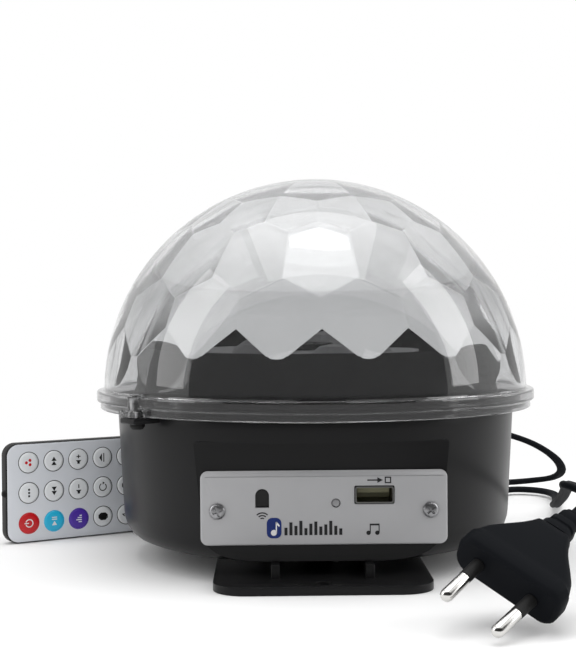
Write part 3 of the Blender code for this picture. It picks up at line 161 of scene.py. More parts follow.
def clear_plastic():
    """Clear plastic with painted shade and light: greyer low down, dark grey on the flange, lighter at the
    top. A share of the light goes straight through and softens the facets.
    """
    look = Look("clear_moulded_dome", Transmission_Weight=1.0, IOR=1.49)
    slow = look.noise(26.0)
    height = look.add("ShaderNodeSeparateXYZ", {}, {0: look.place}, out=2)
    up = look.add("ShaderNodeMapRange", {}, {0: height, 1: PAINTED_TOP_LIGHT_FROM, 2: PAINTED_TOP_LIGHT_TO})
    # Painted shade: the plastic low down gets a greyer base colour than the top, with a slow random drift in
    # it
    shaded_low_tone = look.mix(slow, (0.66, 0.665, 0.67, 1.0), (0.74, 0.745, 0.75, 1.0))
    # Painted shade on the flange: below the rim the base colour turns dark grey, standing in for the black
    # housing seen through it
    rim = look.add("ShaderNodeMapRange", {}, {0: height, 1: RIM_SHADE_FROM, 2: RIM_SHADE_TO})
    shaded_low_tone = look.mix(rim, shaded_low_tone, (0.42, 0.42, 0.425, 1.0))
    # Painted light: the top of the dome gets a lighter base colour than the sides
    look.link(look.mix(up, shaded_low_tone, (0.96, 0.965, 0.97, 1.0)), "Base Color")
    look.link(look.noise(120.0) * 0.012 + 0.002, "Roughness")
    look.bump(slow, 0.03, 0.0006)
    thin = look.add("ShaderNodeBsdfTransparent", {}, {"Color": (0.88, 0.885, 0.89, 1.0)})
    above, below, crown = (look.add("ShaderNodeMapRange", {}, {0: height, 1: low, 2: high, 4: most})
                           for low, high, most in THIN_ZONES)
    share = above + below + crown
    look.show(look.add("ShaderNodeMixShader", {}, {0: share, 1: look.skin.outputs[0], 2: thin}))
    return look.mat


BLACK = moulded("satin_black_plastic", (0.010, 0.010, 0.0105), 0.31, Specular_IOR_Level=0.14)
SOFT_BLACK = moulded("matt_black_plastic", (0.010, 0.010, 0.010), 0.55, Specular_IOR_Level=0.18)
GLOSS_BLACK = moulded("gloss_black_plastic", (0.008, 0.008, 0.008), 0.16, spread=0.03, depth=0.1,
                      Specular_IOR_Level=0.2)
CORD_SKIN = moulded("black_cord_sheath", (0.007, 0.0078, 0.0095), 0.6, grain=1500.0, Specular_IOR_Level=0.03)
PLATE_GREY = moulded("grey_control_plate", (0.40, 0.40, 0.41), 0.42, spread=0.05)
WHITE = moulded("white_plastic", (0.78, 0.78, 0.77), 0.4)
SILVER = moulded("silver_printed_film", (0.74, 0.765, 0.81), 0.36, spread=0.05, grain=1800.0)
GREEN = moulded("green_solder_mask", (0.02, 0.13, 0.05), 0.4, grain=700.0)
PAPER = moulded("pressed_paper_cone", (0.04, 0.036, 0.032), 0.85, grain=900.0, depth=0.6)
WELL_BLACK = moulded("dull_black_well", (0.009, 0.009, 0.009), 0.62, Specular_IOR_Level=0.04)
# Painted shade: the rotor lenses and LED collimators are clear plastic, and get a dark base colour so that
# they stay as dark as the shaded well around them
LENS_PAINTED_SHADE = moulded("clear_lens_painted_shade", (0.10, 0.10, 0.105), 0.45, spread=0.03, depth=0.05,
                 Transmission_Weight=0.8, Specular_IOR_Level=0.02)
COPPER = metal("wound_copper", (0.72, 0.42, 0.2), 0.35)
STEEL = metal("plated_steel", (0.66, 0.66, 0.67), 0.26)
SCREW_GREY = metal("dull_screw_steel", (0.36, 0.36, 0.37), 0.38)
CHROME = metal("nickel_pins", (0.72, 0.71, 0.69), 0.14)
OLIVE = moulded("olive_socket_insert", (0.26, 0.25, 0.14), 0.5)
SHELL_GREY = metal("dark_socket_shell", (0.16, 0.16, 0.155), 0.35)
CLEAR = clear_plastic()
WATER_CLEAR = moulded("cloudy_lamp_resin", (0.42, 0.42, 0.43), 0.18, grain=600.0, Transmission_Weight=0.35)


# Modelling helpers
def start_edit(obj):
    bpy.ops.object.select_all(action="DESELECT")
    bpy.context.view_layer.objects.active = obj
    obj.select_set(True)
    bpy.ops.object.mode_set(mode="EDIT")


def finish(obj, name, mat, body="base", smooth=35.0):
    """Names a piece, turns its faces outwards, gives it its material and lets it ride on its body."""
    bpy.ops.object.select_all(action="DESELECT")
    bpy.context.view_layer.objects.active = obj
    obj.select_set(True)
    bpy.ops.object.transform_apply(location=True, rotation=True, scale=True)
    start_edit(obj)
    bpy.ops.mesh.select_all(action="SELECT")
    bpy.ops.mesh.remove_doubles(threshold=0.000002)
    bpy.ops.mesh.normals_make_consistent(inside=False)
    bpy.ops.object.mode_set(mode="OBJECT")
    bpy.ops.object.shade_smooth_by_angle(angle=math.radians(smooth))
    obj.name = name
    obj.data.name = name
    obj.data.materials.clear()
    obj.data.materials.append(mat)
    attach(obj, body)
    return obj


def grow(profile, steps, ring=False):
    """A turned shape grown from a circle: each next (radius, z) is an extrude, a resize and a move."""
    bpy.ops.object.select_all(action="DESELECT")
    r0, z0 = profile[0]
    bpy.ops.mesh.primitive_circle_add(vertices=steps, radius=r0, location=(0.0, 0.0, 0.0))
    obj = bpy.context.object
    bpy.ops.object.mode_set(mode="EDIT")
    bpy.ops.mesh.select_all(action="SELECT")
    bpy.ops.transform.translate(value=(0.0, 0.0, z0))
    if not ring:
        bpy.ops.mesh.edge_face_add()
        bpy.ops.mesh.select_all(action="DESELECT")
        bpy.ops.mesh.select_mode(type="EDGE")
        bpy.ops.mesh.select_non_manifold()
    bpy.ops.mesh.select_mode(type="VERT")
    r, z = r0, z0
    for nr, nz in profile[1:]:
        bpy.ops.mesh.extrude_region_move(TRANSFORM_OT_translate={"value": (0.0, 0.0, nz - z)})
        bpy.ops.transform.resize(value=(nr / r, nr / r, 1.0), center_override=(0.0, 0.0, nz))
        r, z = nr, nz
    if ring:
        bpy.ops.mesh.select_all(action="DESELECT")
        bpy.ops.mesh.select_non_manifold()
        bpy.ops.mesh.bridge_edge_loops()
    else:
        bpy.ops.mesh.edge_face_add()
    bpy.ops.object.mode_set(mode="OBJECT")
    return obj


def block(low, high, round_by=0.0):
    """A box between two corners, with its edges rounded where asked."""
    bpy.ops.object.select_all(action="DESELECT")
    low, high = Vector(low), Vector(high)
    bpy.ops.mesh.primitive_cube_add(size=1.0, location=(low + high) / 2.0)
    obj = bpy.context.object
    obj.scale = high - low
    bpy.ops.object.transform_apply(location=True, rotation=True, scale=True)
    if round_by:
        modify(obj, "BEVEL", width=round_by, segments=3)
    return obj


def modify(obj, kind, **settings):
    """Adds one modifier and applies it."""
    mod = obj.modifiers.new(kind.lower(), kind)
    for key, value in settings.items():
        setattr(mod, key, value)
    bpy.ops.object.select_all(action="DESELECT")
    bpy.context.view_layer.objects.active = obj
    obj.select_set(True)
    bpy.ops.object.modifier_apply(modifier=mod.name)
    return obj


def cut(obj, tool, how="DIFFERENCE"):
    """Cuts the tool out of a piece, or joins it on, and throws the tool away."""
    modify(obj, "BOOLEAN", operation=how, solver="EXACT", object=tool)
    bpy.data.objects.remove(tool)
    return obj


def moved(obj, matrix):
    obj.matrix_world = matrix @ obj.matrix_world
    bpy.ops.object.select_all(action="DESELECT")
    bpy.context.view_layer.objects.active = obj
    obj.select_set(True)
    bpy.ops.object.transform_apply(location=True, rotation=True, scale=True)
    return obj


def slab(outlines, thick, z=0.0):
    """A flat plate lying in X and Y from a filled outline with holes, its underside at z."""
    curve = bpy.data.curves.new("outline", "CURVE")
    curve.dimensions = "2D"
    curve.fill_mode = "BOTH"
    curve.extrude = thick / 2.0
    for points in outlines:
        line = curve.splines.new("POLY")
        line.points.add(len(points) - 1)
        for spot, (x, y) in zip(line.points, points):
            spot.co = (x, y, 0.0, 1.0)
        line.use_cyclic_u = True
    obj = bpy.data.objects.new("outline", curve)
    bpy.context.scene.collection.objects.link(obj)
    obj.location.z = z + thick / 2.0
    bpy.ops.object.select_all(action="DESELECT")
    bpy.context.view_layer.objects.active = obj
    obj.select_set(True)
    bpy.ops.object.convert(target="MESH")
    obj = bpy.context.object
    bpy.ops.object.transform_apply(location=True, rotation=True, scale=True)
    start_edit(obj)
    bpy.ops.mesh.select_all(action="SELECT")
    bpy.ops.mesh.remove_doubles(threshold=0.000002)
    bpy.ops.mesh.dissolve_limited(angle_limit=0.002)
    bpy.ops.mesh.normals_make_consistent(inside=False)
    bpy.ops.object.mode_set(mode="OBJECT")
    return obj


def rounded(cx, cy, w, h, r, steps=8):
    """The outline of a rectangle with round corners."""
    points = []
    for corner in range(4):
        sx, sy = (1.0 if corner in (0, 3) else -1.0), (1.0 if corner in (0, 1) else -1.0)
        for i in range(steps + 1):
            a = TURN / 4.0 * (corner + i / steps)
            points.append((cx + sx * (w / 2.0 - r) + r * math.cos(a),
                           cy + sy * (h / 2.0 - r) + r * math.sin(a)))
    return points


def disc(cx, cy, r, steps=32, start=0.0, sweep=TURN):
    """Points on a circle, or on a part of one."""
    last = steps if sweep == TURN else steps + 1
    return [(cx + r * math.cos(start + sweep * i / steps), cy + r * math.sin(start + sweep * i / steps))
            for i in range(last)]


def around(radius, degrees):
    a = math.radians(degrees)
    return Vector((radius * math.cos(a), radius * math.sin(a), 0.0))


def onto_plate(y):
    """From a flat that lies in X and Y to one that stands in X and Z at y and faces -Y."""
    return Matrix.Translation((0.0, y, 0.0)) @ Matrix.Rotation(TURN / 4.0, 4, "X")


# Dome: smooth outside, planar lens facets cut in the cavity, rolled flange, two screw bosses
BALL_R, BALL_IN_R, BALL_Z = 80.5 * MM, 78.6 * MM, 62.4 * MM
FACET_ROWS = ((11.9, 9.8, 16, 0.0), (24.5, 14.2, 16, 0.5), (40.6, 17.3, 16, 0.0),
              (54.5, 15.5, 16, 0.5), (68.5, 14.5, 8, 0.0), (90.0, 14.5, 1, 0.0))
LUGS, LUG_RING_R, LUG_HALF = (-141.0, 39.0), 81.6 * MM, 4.6 * MM
RIM_Z, RIDGE_ROUND, RIDGE_SHARPEST_FLAT = 58.2 * MM, 0.2 * MM, math.radians(7.0)


def cavity():
    """A ball flattened by one plane per facet, with its ridges broken, to be cut out of the dome."""
    bpy.ops.object.select_all(action="DESELECT")
    bpy.ops.mesh.primitive_uv_sphere_add(segments=96, ring_count=48, radius=BALL_IN_R,
                                         location=(0.0, 0.0, BALL_Z))
    obj = bpy.context.object
    bpy.ops.object.transform_apply(location=True)
    start_edit(obj)
    planes = [((0.0, 0.0, RIM_Z), (0.0, 0.0, -1.0))]
    for latitude, reach, count, shift in FACET_ROWS:
        lat = math.radians(latitude)
        far = BALL_IN_R * math.cos(math.radians(reach))
        for i in range(count):
            lon = TURN * (i + shift) / count - TURN / 4.0
            way = Vector((math.cos(lat) * math.cos(lon), math.cos(lat) * math.sin(lon), math.sin(lat)))
            planes.append((way * far + Vector((0.0, 0.0, BALL_Z)), way))
    for spot, way in planes:
        bpy.ops.mesh.select_all(action="SELECT")
        bpy.ops.mesh.bisect(plane_co=spot, plane_no=way, use_fill=True, clear_outer=True)
    bpy.ops.mesh.select_all(action="SELECT")
    bpy.ops.mesh.remove_doubles(threshold=0.00012)
    bpy.ops.mesh.normals_make_consistent(inside=False)
    bpy.ops.mesh.select_mode(type="EDGE")
    bpy.ops.mesh.select_all(action="DESELECT")
    ridges = bmesh.from_edit_mesh(obj.data)
    for edge in ridges.edges:
        above = min(corner.co.z for corner in edge.verts) > RIM_Z + MM
        edge.select_set(above and edge.calc_face_angle(0.0) > RIDGE_SHARPEST_FLAT)
    bmesh.update_edit_mesh(obj.data)
    bpy.ops.mesh.bevel(offset=RIDGE_ROUND, segments=1, affect="EDGES", clamp_overlap=True)
    bpy.ops.mesh.select_mode(type="VERT")
    bpy.ops.object.mode_set(mode="OBJECT")
    return obj


def build_dome():
    profile = []
    rise = 40
    for i in range(1, rise + 1):
        a = TURN / 4.0 * (1.0 - i / rise)
        profile.append((BALL_R * math.cos(a), BALL_Z + BALL_R * math.sin(a)))
    profile[-1] = (BALL_R, 63.9 * MM)
    profile += [(80.75 * MM, 63.45 * MM), (81.3 * MM, 63.2 * MM), (82.7 * MM, 63.15 * MM),
                (83.1 * MM, 62.95 * MM), (83.3 * MM, 62.5 * MM), (83.3 * MM, 59.7 * MM),
                (83.1 * MM, 59.3 * MM), (82.7 * MM, 59.2 * MM), (82.1 * MM, 59.15 * MM),
                (81.95 * MM, 58.9 * MM), (81.95 * MM, 56.7 * MM), (81.7 * MM, 56.42 * MM),
                (80.8 * MM, 56.42 * MM), (80.52 * MM, 56.7 * MM), (80.52 * MM, 60.2 * MM)]
    dome = grow(profile, 160)
    for at in LUGS:
        spot = around(LUG_RING_R, at)
        lug = grow([(3.3 * MM, 56.4 * MM), (3.3 * MM, 63.5 * MM), (3.0 * MM, 64.05 * MM),
                    (2.5 * MM, 64.2 * MM)], 40)
        cut(dome, moved(lug, Matrix.Translation(spot)), "UNION")
        tab = block((80.8 * MM, -LUG_HALF, 56.4 * MM), (85.8 * MM, LUG_HALF, 58.6 * MM), 0.5 * MM)
        cut(dome, moved(tab, Matrix.Rotation(math.radians(at), 4, "Z")), "UNION")
        hole = grow([(1.7 * MM, 55.0 * MM), (1.7 * MM, 62.8 * MM)], 24)
        cut(dome, moved(hole, Matrix.Translation(spot)))
    cut(dome, cavity())
    finish(dome, "clear_dome", CLEAR, smooth=6.0)
    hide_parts("dome")


# Housing: drum with rolled lower edge, front flat and thin walls, its sizes in millimetres
HOUSE_WALL, FLAT_Y, FLAT_TOP_Z = 2.2, -61.0, 49.0
GLAND_AT, GLAND_Z, GLAND_HOLE_R = 60.0, 36.0, 4.9
SOUND_HOLES_Z, SOUND_HOLES_STEP = 34.0, 6.0
HOUSE_RINGS = [(62.0, 7.6), (64.1, 7.6), (66.5, 7.95), (68.8, 8.9), (70.9, 10.6), (72.3, 12.8),
               (73.1, 15.3), (73.4, 17.6), (74.2, 34.0), (75.2, 53.0), (75.4, 56.4), (75.2, 57.0)]


def drum(inset):
    """The outside of the housing at inset 0, and the room within its walls at inset 1."""
    wall = HOUSE_WALL * inset
    rings = [((r - wall) * MM, (z + wall if z < 40.0 else z + inset) * MM) for r, z in HOUSE_RINGS]
    body = grow(rings, 192)
    far = 160.0 * MM
    flat = block((-far, -far, -far), (far, (FLAT_Y + wall) * MM, (FLAT_TOP_Z + wall) * MM))
    modify(flat, "BEVEL", width=1.4 * MM, segments=4)
    return cut(body, flat)


def build_housing():
    house = drum(0.0)
    for at in LUGS:
        ear = block((73.2 * MM, -LUG_HALF, 54.1 * MM), (85.8 * MM, LUG_HALF, 56.1 * MM), 0.6 * MM)
        cut(house, moved(ear, Matrix.Rotation(math.radians(at), 4, "Z")), "UNION")
    cut(house, drum(1.0))
    window = slab([rounded(PLATE_X, 26.8 * MM, 62.0 * MM, 17.0 * MM, 2.0 * MM)], 10.0 * MM, -5.0 * MM)
    cut(house, moved(window, onto_plate(FLAT_Y * MM)))
    way = around(1.0, GLAND_AT)
    outward = way.to_track_quat("Z", "Y").to_matrix().to_4x4()
    at_gland = Matrix.Translation(way * 66.0 * MM + Vector((0.0, 0.0, GLAND_Z * MM)))
    hole = grow([(GLAND_HOLE_R * MM, 0.0), (GLAND_HOLE_R * MM, 14.0 * MM)], 40)
    cut(house, moved(hole, at_gland @ outward))
    spots = [(0.0, SOUND_HOLES_Z)]
    for ring in (1, 2):
        for i in range(6):
            a, r = TURN * i / 6, SOUND_HOLES_STEP * ring
            spots.append((r * math.cos(a), SOUND_HOLES_Z + r * math.sin(a)))
    for x, z in spots:
        hole = grow([(1.5 * MM, 0.0), (1.5 * MM, 20.0 * MM)], 20)
        spot = Matrix.Translation((x * MM, 60.0 * MM, z * MM))
        cut(house, moved(hole, spot @ Matrix.Rotation(-TURN / 4.0, 4, "X")))
    finish(house, "drum_housing", BLACK, smooth=30.0)
    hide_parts("housing")


# Foot plate: a hole at each end, two ribs and two bosses that its screws go through
FOOT_W, FOOT_L, FOOT_T, FOOT_CORNER = 73.8 * MM, 159.8 * MM, 2.7 * MM, 11.0 * MM
END_HOLE_Y, END_HOLE_R, BOSS_Y = 73.0 * MM, 2.75 * MM, 32.0 * MM
RIB_X, RIB_HALF_W, RIB_HALF_L, RIB_TOP_Z = 16.0 * MM, 1.5 * MM, 66.0 * MM, 7.3 * MM


def build_foot():
    foot = slab([rounded(0.0, 0.0, FOOT_W, FOOT_L, FOOT_CORNER), disc(0.0, -END_HOLE_Y, END_HOLE_R),
                 disc(0.0, END_HOLE_Y, END_HOLE_R)], FOOT_T)
    modify(foot, "BEVEL", width=0.7 * MM, segments=3, limit_method="ANGLE")
    for x in (-RIB_X, RIB_X):
        rib = block((x - RIB_HALF_W, -RIB_HALF_L, 1.5 * MM), (x + RIB_HALF_W, RIB_HALF_L, RIB_TOP_Z),
                    0.5 * MM)
        cut(foot, rib, "UNION")
    for y in (-BOSS_Y, BOSS_Y):
        boss = grow([(4.5 * MM, 1.0 * MM), (4.5 * MM, 7.0 * MM), (4.2 * MM, RIB_TOP_Z)], 32)
        cut(foot, moved(boss, Matrix.Translation((0.0, y, 0.0))), "UNION")
        hole = grow([(3.3 * MM, -1.0 * MM), (3.3 * MM, 2.2 * MM), (1.65 * MM, 2.21 * MM),
                     (1.65 * MM, 9.0 * MM)], 32)
        cut(foot, moved(hole, Matrix.Translation((0.0, y, 0.0))))
    finish(foot, "foot_plate", BLACK, smooth=35.0)
    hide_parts("foot_bracket")


# Deck with the light well standing on it
def build_deck():
    deck = grow([(80.0 * MM, 57.3 * MM), (80.2 * MM, 57.5 * MM), (80.2 * MM, 59.7 * MM),
                 (80.0 * MM, 59.9 * MM), (70.8 * MM, 59.9 * MM), (70.2 * MM, 60.1 * MM),
                 (69.9 * MM, 60.7 * MM), (63.5 * MM, 77.6 * MM), (63.1 * MM, 78.0 * MM),
                 (61.9 * MM, 78.0 * MM), (61.5 * MM, 77.7 * MM), (68.0 * MM, 60.5 * MM),
                 (67.4 * MM, 59.9 * MM), (9.2 * MM, 59.9 * MM), (9.0 * MM, 59.7 * MM),
                 (9.0 * MM, 57.3 * MM), (70.6 * MM, 57.3 * MM), (70.6 * MM, 53.5 * MM),
                 (72.6 * MM, 53.5 * MM), (72.6 * MM, 57.3 * MM)], 128, ring=True)
    for at in LUGS:
        notch = grow([(3.6 * MM, 55.0 * MM), (3.6 * MM, 61.0 * MM)], 32)
        cut(deck, moved(notch, Matrix.Translation(around(LUG_RING_R, at))))
    finish(deck, "deck_with_light_well", WELL_BLACK, smooth=30.0)
    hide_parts("deck_plate")


# Control plate and what shows in it
PLATE_X, PLATE_Y, PLATE_BACK_Y, PLATE_T = 0.7 * MM, -62.3 * MM, -61.1 * MM, 1.2 * MM
PLATE_SCREW_OUT, PLATE_SCREW_Z = 36.2 * MM, 25.0 * MM
WINDOW_X, WINDOW_LOW_Z, WINDOW_ARCH_Z, WINDOW_HALF = -20.3 * MM, 26.1 * MM, 30.15 * MM, 2.35 * MM
SOCKET_X, SOCKET_Z, SLOPE_Z = 17.8 * MM, 30.2 * MM, 36.7 * MM
INK = moulded("dark_print", (0.018, 0.018, 0.019), 0.5, Specular_IOR_Level=0.2)
BLUE = moulded("blue_badge_print", (0.007, 0.024, 0.15), 0.45, Specular_IOR_Level=0.2)


def print_on(name, outlines, mat, y=PLATE_Y, thick=0.05 * MM):
    """A thin print on the control plate, from outlines in X and Z."""
    mark = slab(outlines, thick)
    finish(moved(mark, onto_plate(y)), name, mat)


def bar(x, z, w, h):
    return [(x - w / 2.0, z - h / 2.0), (x + w / 2.0, z - h / 2.0), (x + w / 2.0, z + h / 2.0),
            (x - w / 2.0, z + h / 2.0)]


def arc_band(cx, cy, r, w, start, sweep, steps=16):
    outer = disc(cx, cy, r + w / 2.0, steps, start, sweep)
    return outer + disc(cx, cy, r - w / 2.0, steps, start, sweep)[::-1]


def build_plate():
    edge = rounded(PLATE_X, 26.0 * MM, 83.9 * MM, 25.3 * MM, 2.6 * MM)
    plate = slab([edge], PLATE_T)
    modify(plate, "BEVEL", width=0.55 * MM, segments=4, limit_method="ANGLE")
    window = [(WINDOW_X - WINDOW_HALF, WINDOW_LOW_Z), (WINDOW_X + WINDOW_HALF, WINDOW_LOW_Z)]
    window += disc(WINDOW_X, WINDOW_ARCH_Z, WINDOW_HALF, 20, 0.0, TURN / 2.0)
    holes = [window, rounded(SOCKET_X, SOCKET_Z, 13.7 * MM, 6.3 * MM, 0.6 * MM),
             disc(4.7 * MM, 27.5 * MM, 1.56 * MM)]
    holes += [disc(PLATE_X + side * PLATE_SCREW_OUT, PLATE_SCREW_Z, 1.6 * MM) for side in (-1.0, 1.0)]
    for hole in holes:
        cut(plate, slab([hole], 4.0 * MM, -1.0 * MM))
    band = block((-45.0 * MM, SLOPE_Z, PLATE_T), (45.0 * MM, SLOPE_Z + 10.0 * MM, PLATE_T + 2.0 * MM))
    tilt = Matrix.Translation((0.0, SLOPE_Z, PLATE_T)) @ Matrix.Rotation(-0.2, 4, "X")
    cut(plate, moved(band, tilt @ Matrix.Translation((0.0, -SLOPE_Z, -PLATE_T))))
    cut(plate, block((-39.6 * MM, 36.5 * MM, 0.95 * MM), (41.0 * MM, 36.75 * MM, 2.0 * MM)))
    finish(moved(plate, onto_plate(PLATE_BACK_Y)), "control_plate", PLATE_GREY, smooth=40.0)
    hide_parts("control_panel")
    x, z = -16.3 * MM, 19.2 * MM
    print_on("badge", [rounded(x, z, 5.0 * MM, 7.0 * MM, 1.9 * MM)], BLUE)
    note = moulded("white_print", (0.75, 0.75, 0.76), 0.45)
    y = PLATE_Y - 0.05 * MM
    print_on("badge_note_stem", [bar(x + 0.75 * MM, z + 0.3 * MM, 0.4 * MM, 3.6 * MM)], note, y, 0.03 * MM)
    print_on("badge_note_flag", [[(x + 0.6 * MM, z + 2.1 * MM), (x + 0.95 * MM, z + 2.1 * MM),
                                  (x + 1.9 * MM, z + 0.9 * MM), (x + 1.75 * MM, z + 0.4 * MM),
                                  (x + 0.9 * MM, z + 1.1 * MM)]], note, y, 0.03 * MM)
    print_on("badge_note_head", [disc(x - 0.1 * MM, z - 1.6 * MM, 1.0 * MM, 20)], note, y, 0.03 * MM)
    heights = (2.6, 4.4, 3.2, 4.9, 2.4, 3.9, 4.6, 2.9, 3.6, 4.8, 3.1, 2.2)
    for i, tall in enumerate(heights):
        print_on(f"level_bar_{i + 1}", [bar((-12.3 + 1.69 * i) * MM, (16.7 + tall / 2.0) * MM, 1.05 * MM,
                                            tall * MM)], INK)
    x, z = SOCKET_X, SOCKET_Z + 5.0 * MM
    print_on("socket_mark_stem", [bar(x - 0.6 * MM, z, 3.6 * MM, 0.45 * MM)], INK)
    print_on("socket_mark_tip", [[(x + 1.0 * MM, z - 0.95 * MM), (x + 2.9 * MM, z),
                                  (x + 1.0 * MM, z + 0.95 * MM)]], INK)
    print_on("socket_mark_box", [bar(x + 4.6 * MM, z, 2.2 * MM, 2.2 * MM),
                                 bar(x + 4.6 * MM, z, 1.4 * MM, 1.4 * MM)], INK)
    x, z = 17.2 * MM, 18.6 * MM
    for side in (-1.0, 1.0):
        print_on(f"tune_head_{int(side)}", [disc(x + side * 1.5 * MM, z - 1.3 * MM, 0.75 * MM, 20)], INK)
        print_on(f"tune_stem_{int(side)}", [bar(x + side * 1.5 * MM + 0.6 * MM, z + 0.2 * MM, 0.35 * MM,
                                                2.9 * MM)], INK)
    print_on("tune_beam", [bar(x + 0.6 * MM, z + 1.5 * MM, 3.35 * MM, 0.6 * MM)], INK)
    x, z = WINDOW_X, 23.2 * MM
    for i in range(3):
        print_on(f"signal_arc_{i + 1}", [arc_band(x, z - 1.4 * MM, (0.8 + 0.9 * i) * MM, 0.42 * MM,
                                                  TURN / 8.0, TURN / 4.0)], INK)


def build_panel_screws():
    """Pan heads with a cross recess, each turned its own way."""
    for side, turned, name in ((-1.0, 20.0, "left"), (1.0, 42.0, "right")):
        screw = grow([(0.6 * MM, -7.3 * MM), (1.3 * MM, -6.5 * MM), (1.3 * MM, 0.01 * MM),
                      (2.7 * MM, 0.02 * MM), (2.75 * MM, 0.3 * MM), (2.6 * MM, 0.72 * MM),
                      (2.1 * MM, 1.1 * MM), (1.3 * MM, 1.33 * MM), (0.4 * MM, 1.39 * MM)], 40)
        for quarter in (0.0, 90.0):
            slot = block((-1.65 * MM, -0.33 * MM, 0.55 * MM), (1.65 * MM, 0.33 * MM, 2.0 * MM))
            cut(screw, moved(slot, Matrix.Rotation(math.radians(turned + quarter), 4, "Z")))
        spot = Matrix.Translation((PLATE_X + side * PLATE_SCREW_OUT, PLATE_Y - 0.1 * MM, PLATE_SCREW_Z))
        finish(moved(screw, spot @ Matrix.Rotation(TURN / 4.0, 4, "X")), "panel_screw_head_" + name,
               SCREW_GREY)
        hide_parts("panel_screw_" + name)


def plain_nodes():
    """CAD pieces whose shape is right get their finish here."""
    worn = (
        (SOFT_BLACK, ("dome_screw_1", "dome_screw_2", "heat_spreader", "led_board", "capacitor",
                      "player_chip", "speaker_frame", "coil_tie", "remote_emitter",
                      "remote_battery_tray")),
        (STEEL, ("motor_shaft", "motor_body", "motor_screw_left", "motor_screw_right", "speaker_magnet",
                 "speaker_screw_left", "speaker_screw_right", "foot_screw_front", "foot_screw_back",
                 "remote_battery")),
        (WHITE, tuple(f"led_package_{i}" for i in range(1, 7))),
        (GREEN, ("power_board", "player_board", "remote_board")),
        (WELL_BLACK, ("rotor_disc", "rotor_hub")), (LENS_PAINTED_SHADE, ("rotor_lenses", "led_collimators")),
        (GLOSS_BLACK, ("ir_receiver",)), (WATER_CLEAR, ("status_led",)), (SHELL_GREY, ("usb_shell",)),
        (OLIVE, ("usb_tongue",)), (COPPER, ("transformer",)), (PAPER, ("speaker_cone",)),
        (CORD_SKIN, ("cord_gland",)))
    for mat, names in worn:
        for name in names:
            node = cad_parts[name]
            for seat in node.material_slots:
                seat.material = mat
            if not node.material_slots:
                node.data.materials.append(mat)


# Mains lead: one twin sheath along the same route as its solids, with its plug
CORD_R, CORD_GAP, CORE_SHARE, SHEATH_ARC_SHARE = 2.2 * MM, 0.3 * MM, 0.62, 0.66
COIL_X, COIL_Y, COIL_LOW_Z = 0.0, 133.0 * MM, 3.6 * MM
COIL_IN_R, COIL_STEP, COIL_DIP, LOOP_POINTS = 21.0 * MM, 5.2 * MM, 0.8 * MM, 24
LEAD_SPOTS = ((51.05, 88.42, 36.0), (53.25, 92.23, 36.0), (63.0, 104.0, 37.0), (78.0, 111.0, 36.5),
              (94.0, 113.5, 33.0), (108.0, 115.0, 28.0), (119.0, 119.0, 21.0), (124.5, 127.0, 14.0),
              (123.0, 137.0, 9.0), (114.0, 147.0, 6.0), (97.0, 155.0, 3.8), (70.0, 160.5, 2.9),
              (40.0, 163.0, 3.2), (9.1, 164.4, 3.6))
TAIL_SPOTS = ((9.1, 101.6, 8.8), (30.0, 101.0, 6.4), (52.0, 99.0, 3.0), (68.0, 101.0, 2.6),
              (80.0, 109.0, 2.6), (87.5, 122.0, 2.6), (95.0, 134.0, 2.6), (105.0, 140.0, 2.6),
              (115.0, 135.0, 2.6), (119.5, 122.0, 2.6), (116.5, 102.0, 2.6), (108.0, 68.0, 6.0),
              (101.5, 34.0, 12.0), (96.5, 2.0, 19.5), (90.5, -30.0, 27.0), (83.5, -62.0, 33.0))
PLUG_AT, PLUG_WAY, PLUG_TILT_SHARE = (50.0 * MM, -128.0 * MM, 14.3 * MM), (-0.66, -0.66, -0.36), 0.5
PLUG_LONG, RELIEF_LONG = 26.0 * MM, 13.0 * MM
PIN_HALF, PIN_R, PIN_LONG, SLEEVE_LONG, PIN_LEAN = 9.2 * MM, 2.0 * MM, 19.0 * MM, 8.0 * MM, 0.025


def frame_from(x, y, z, at):
    return Matrix.Translation(Vector(at)) @ Matrix((x, y, z)).transposed().to_4x4()


def plug_place():
    """Where the plug lies: its pins point along Z and stand side by side along X."""
    z = Vector(PLUG_WAY).normalized()
    side = z.cross(Vector((0.0, 0.0, 1.0))).normalized()
    x = side * math.sqrt(1.0 - PLUG_TILT_SHARE ** 2) + side.cross(z) * PLUG_TILT_SHARE
    return frame_from(x, z.cross(x), z, PLUG_AT)


def coil_route():
    """Two and a half turns inwards on the floor, then back out on top of them."""
    out_r = COIL_IN_R + 2.0 * COIL_STEP
    spots = []
    for i in range(4 * LOOP_POINTS + LOOP_POINTS // 2 + 1):
        turn = i / LOOP_POINTS
        r, z = COIL_IN_R + COIL_STEP * (turn - 2.5), COIL_STEP
        if turn <= 2.0:
            r, z = out_r - COIL_STEP * turn, 0.0
        elif turn <= 2.5:
            share = (turn - 2.0) / 0.5
            r = COIL_IN_R - COIL_DIP * math.sin(TURN / 2.0 * share)
            z = COIL_STEP * (0.5 - 0.5 * math.cos(TURN / 2.0 * share))
        a = TURN / 4.0 + TURN * turn
        spots.append(Vector((COIL_X + r * math.cos(a), COIL_Y + r * math.sin(a), COIL_LOW_Z + z)))
    return spots


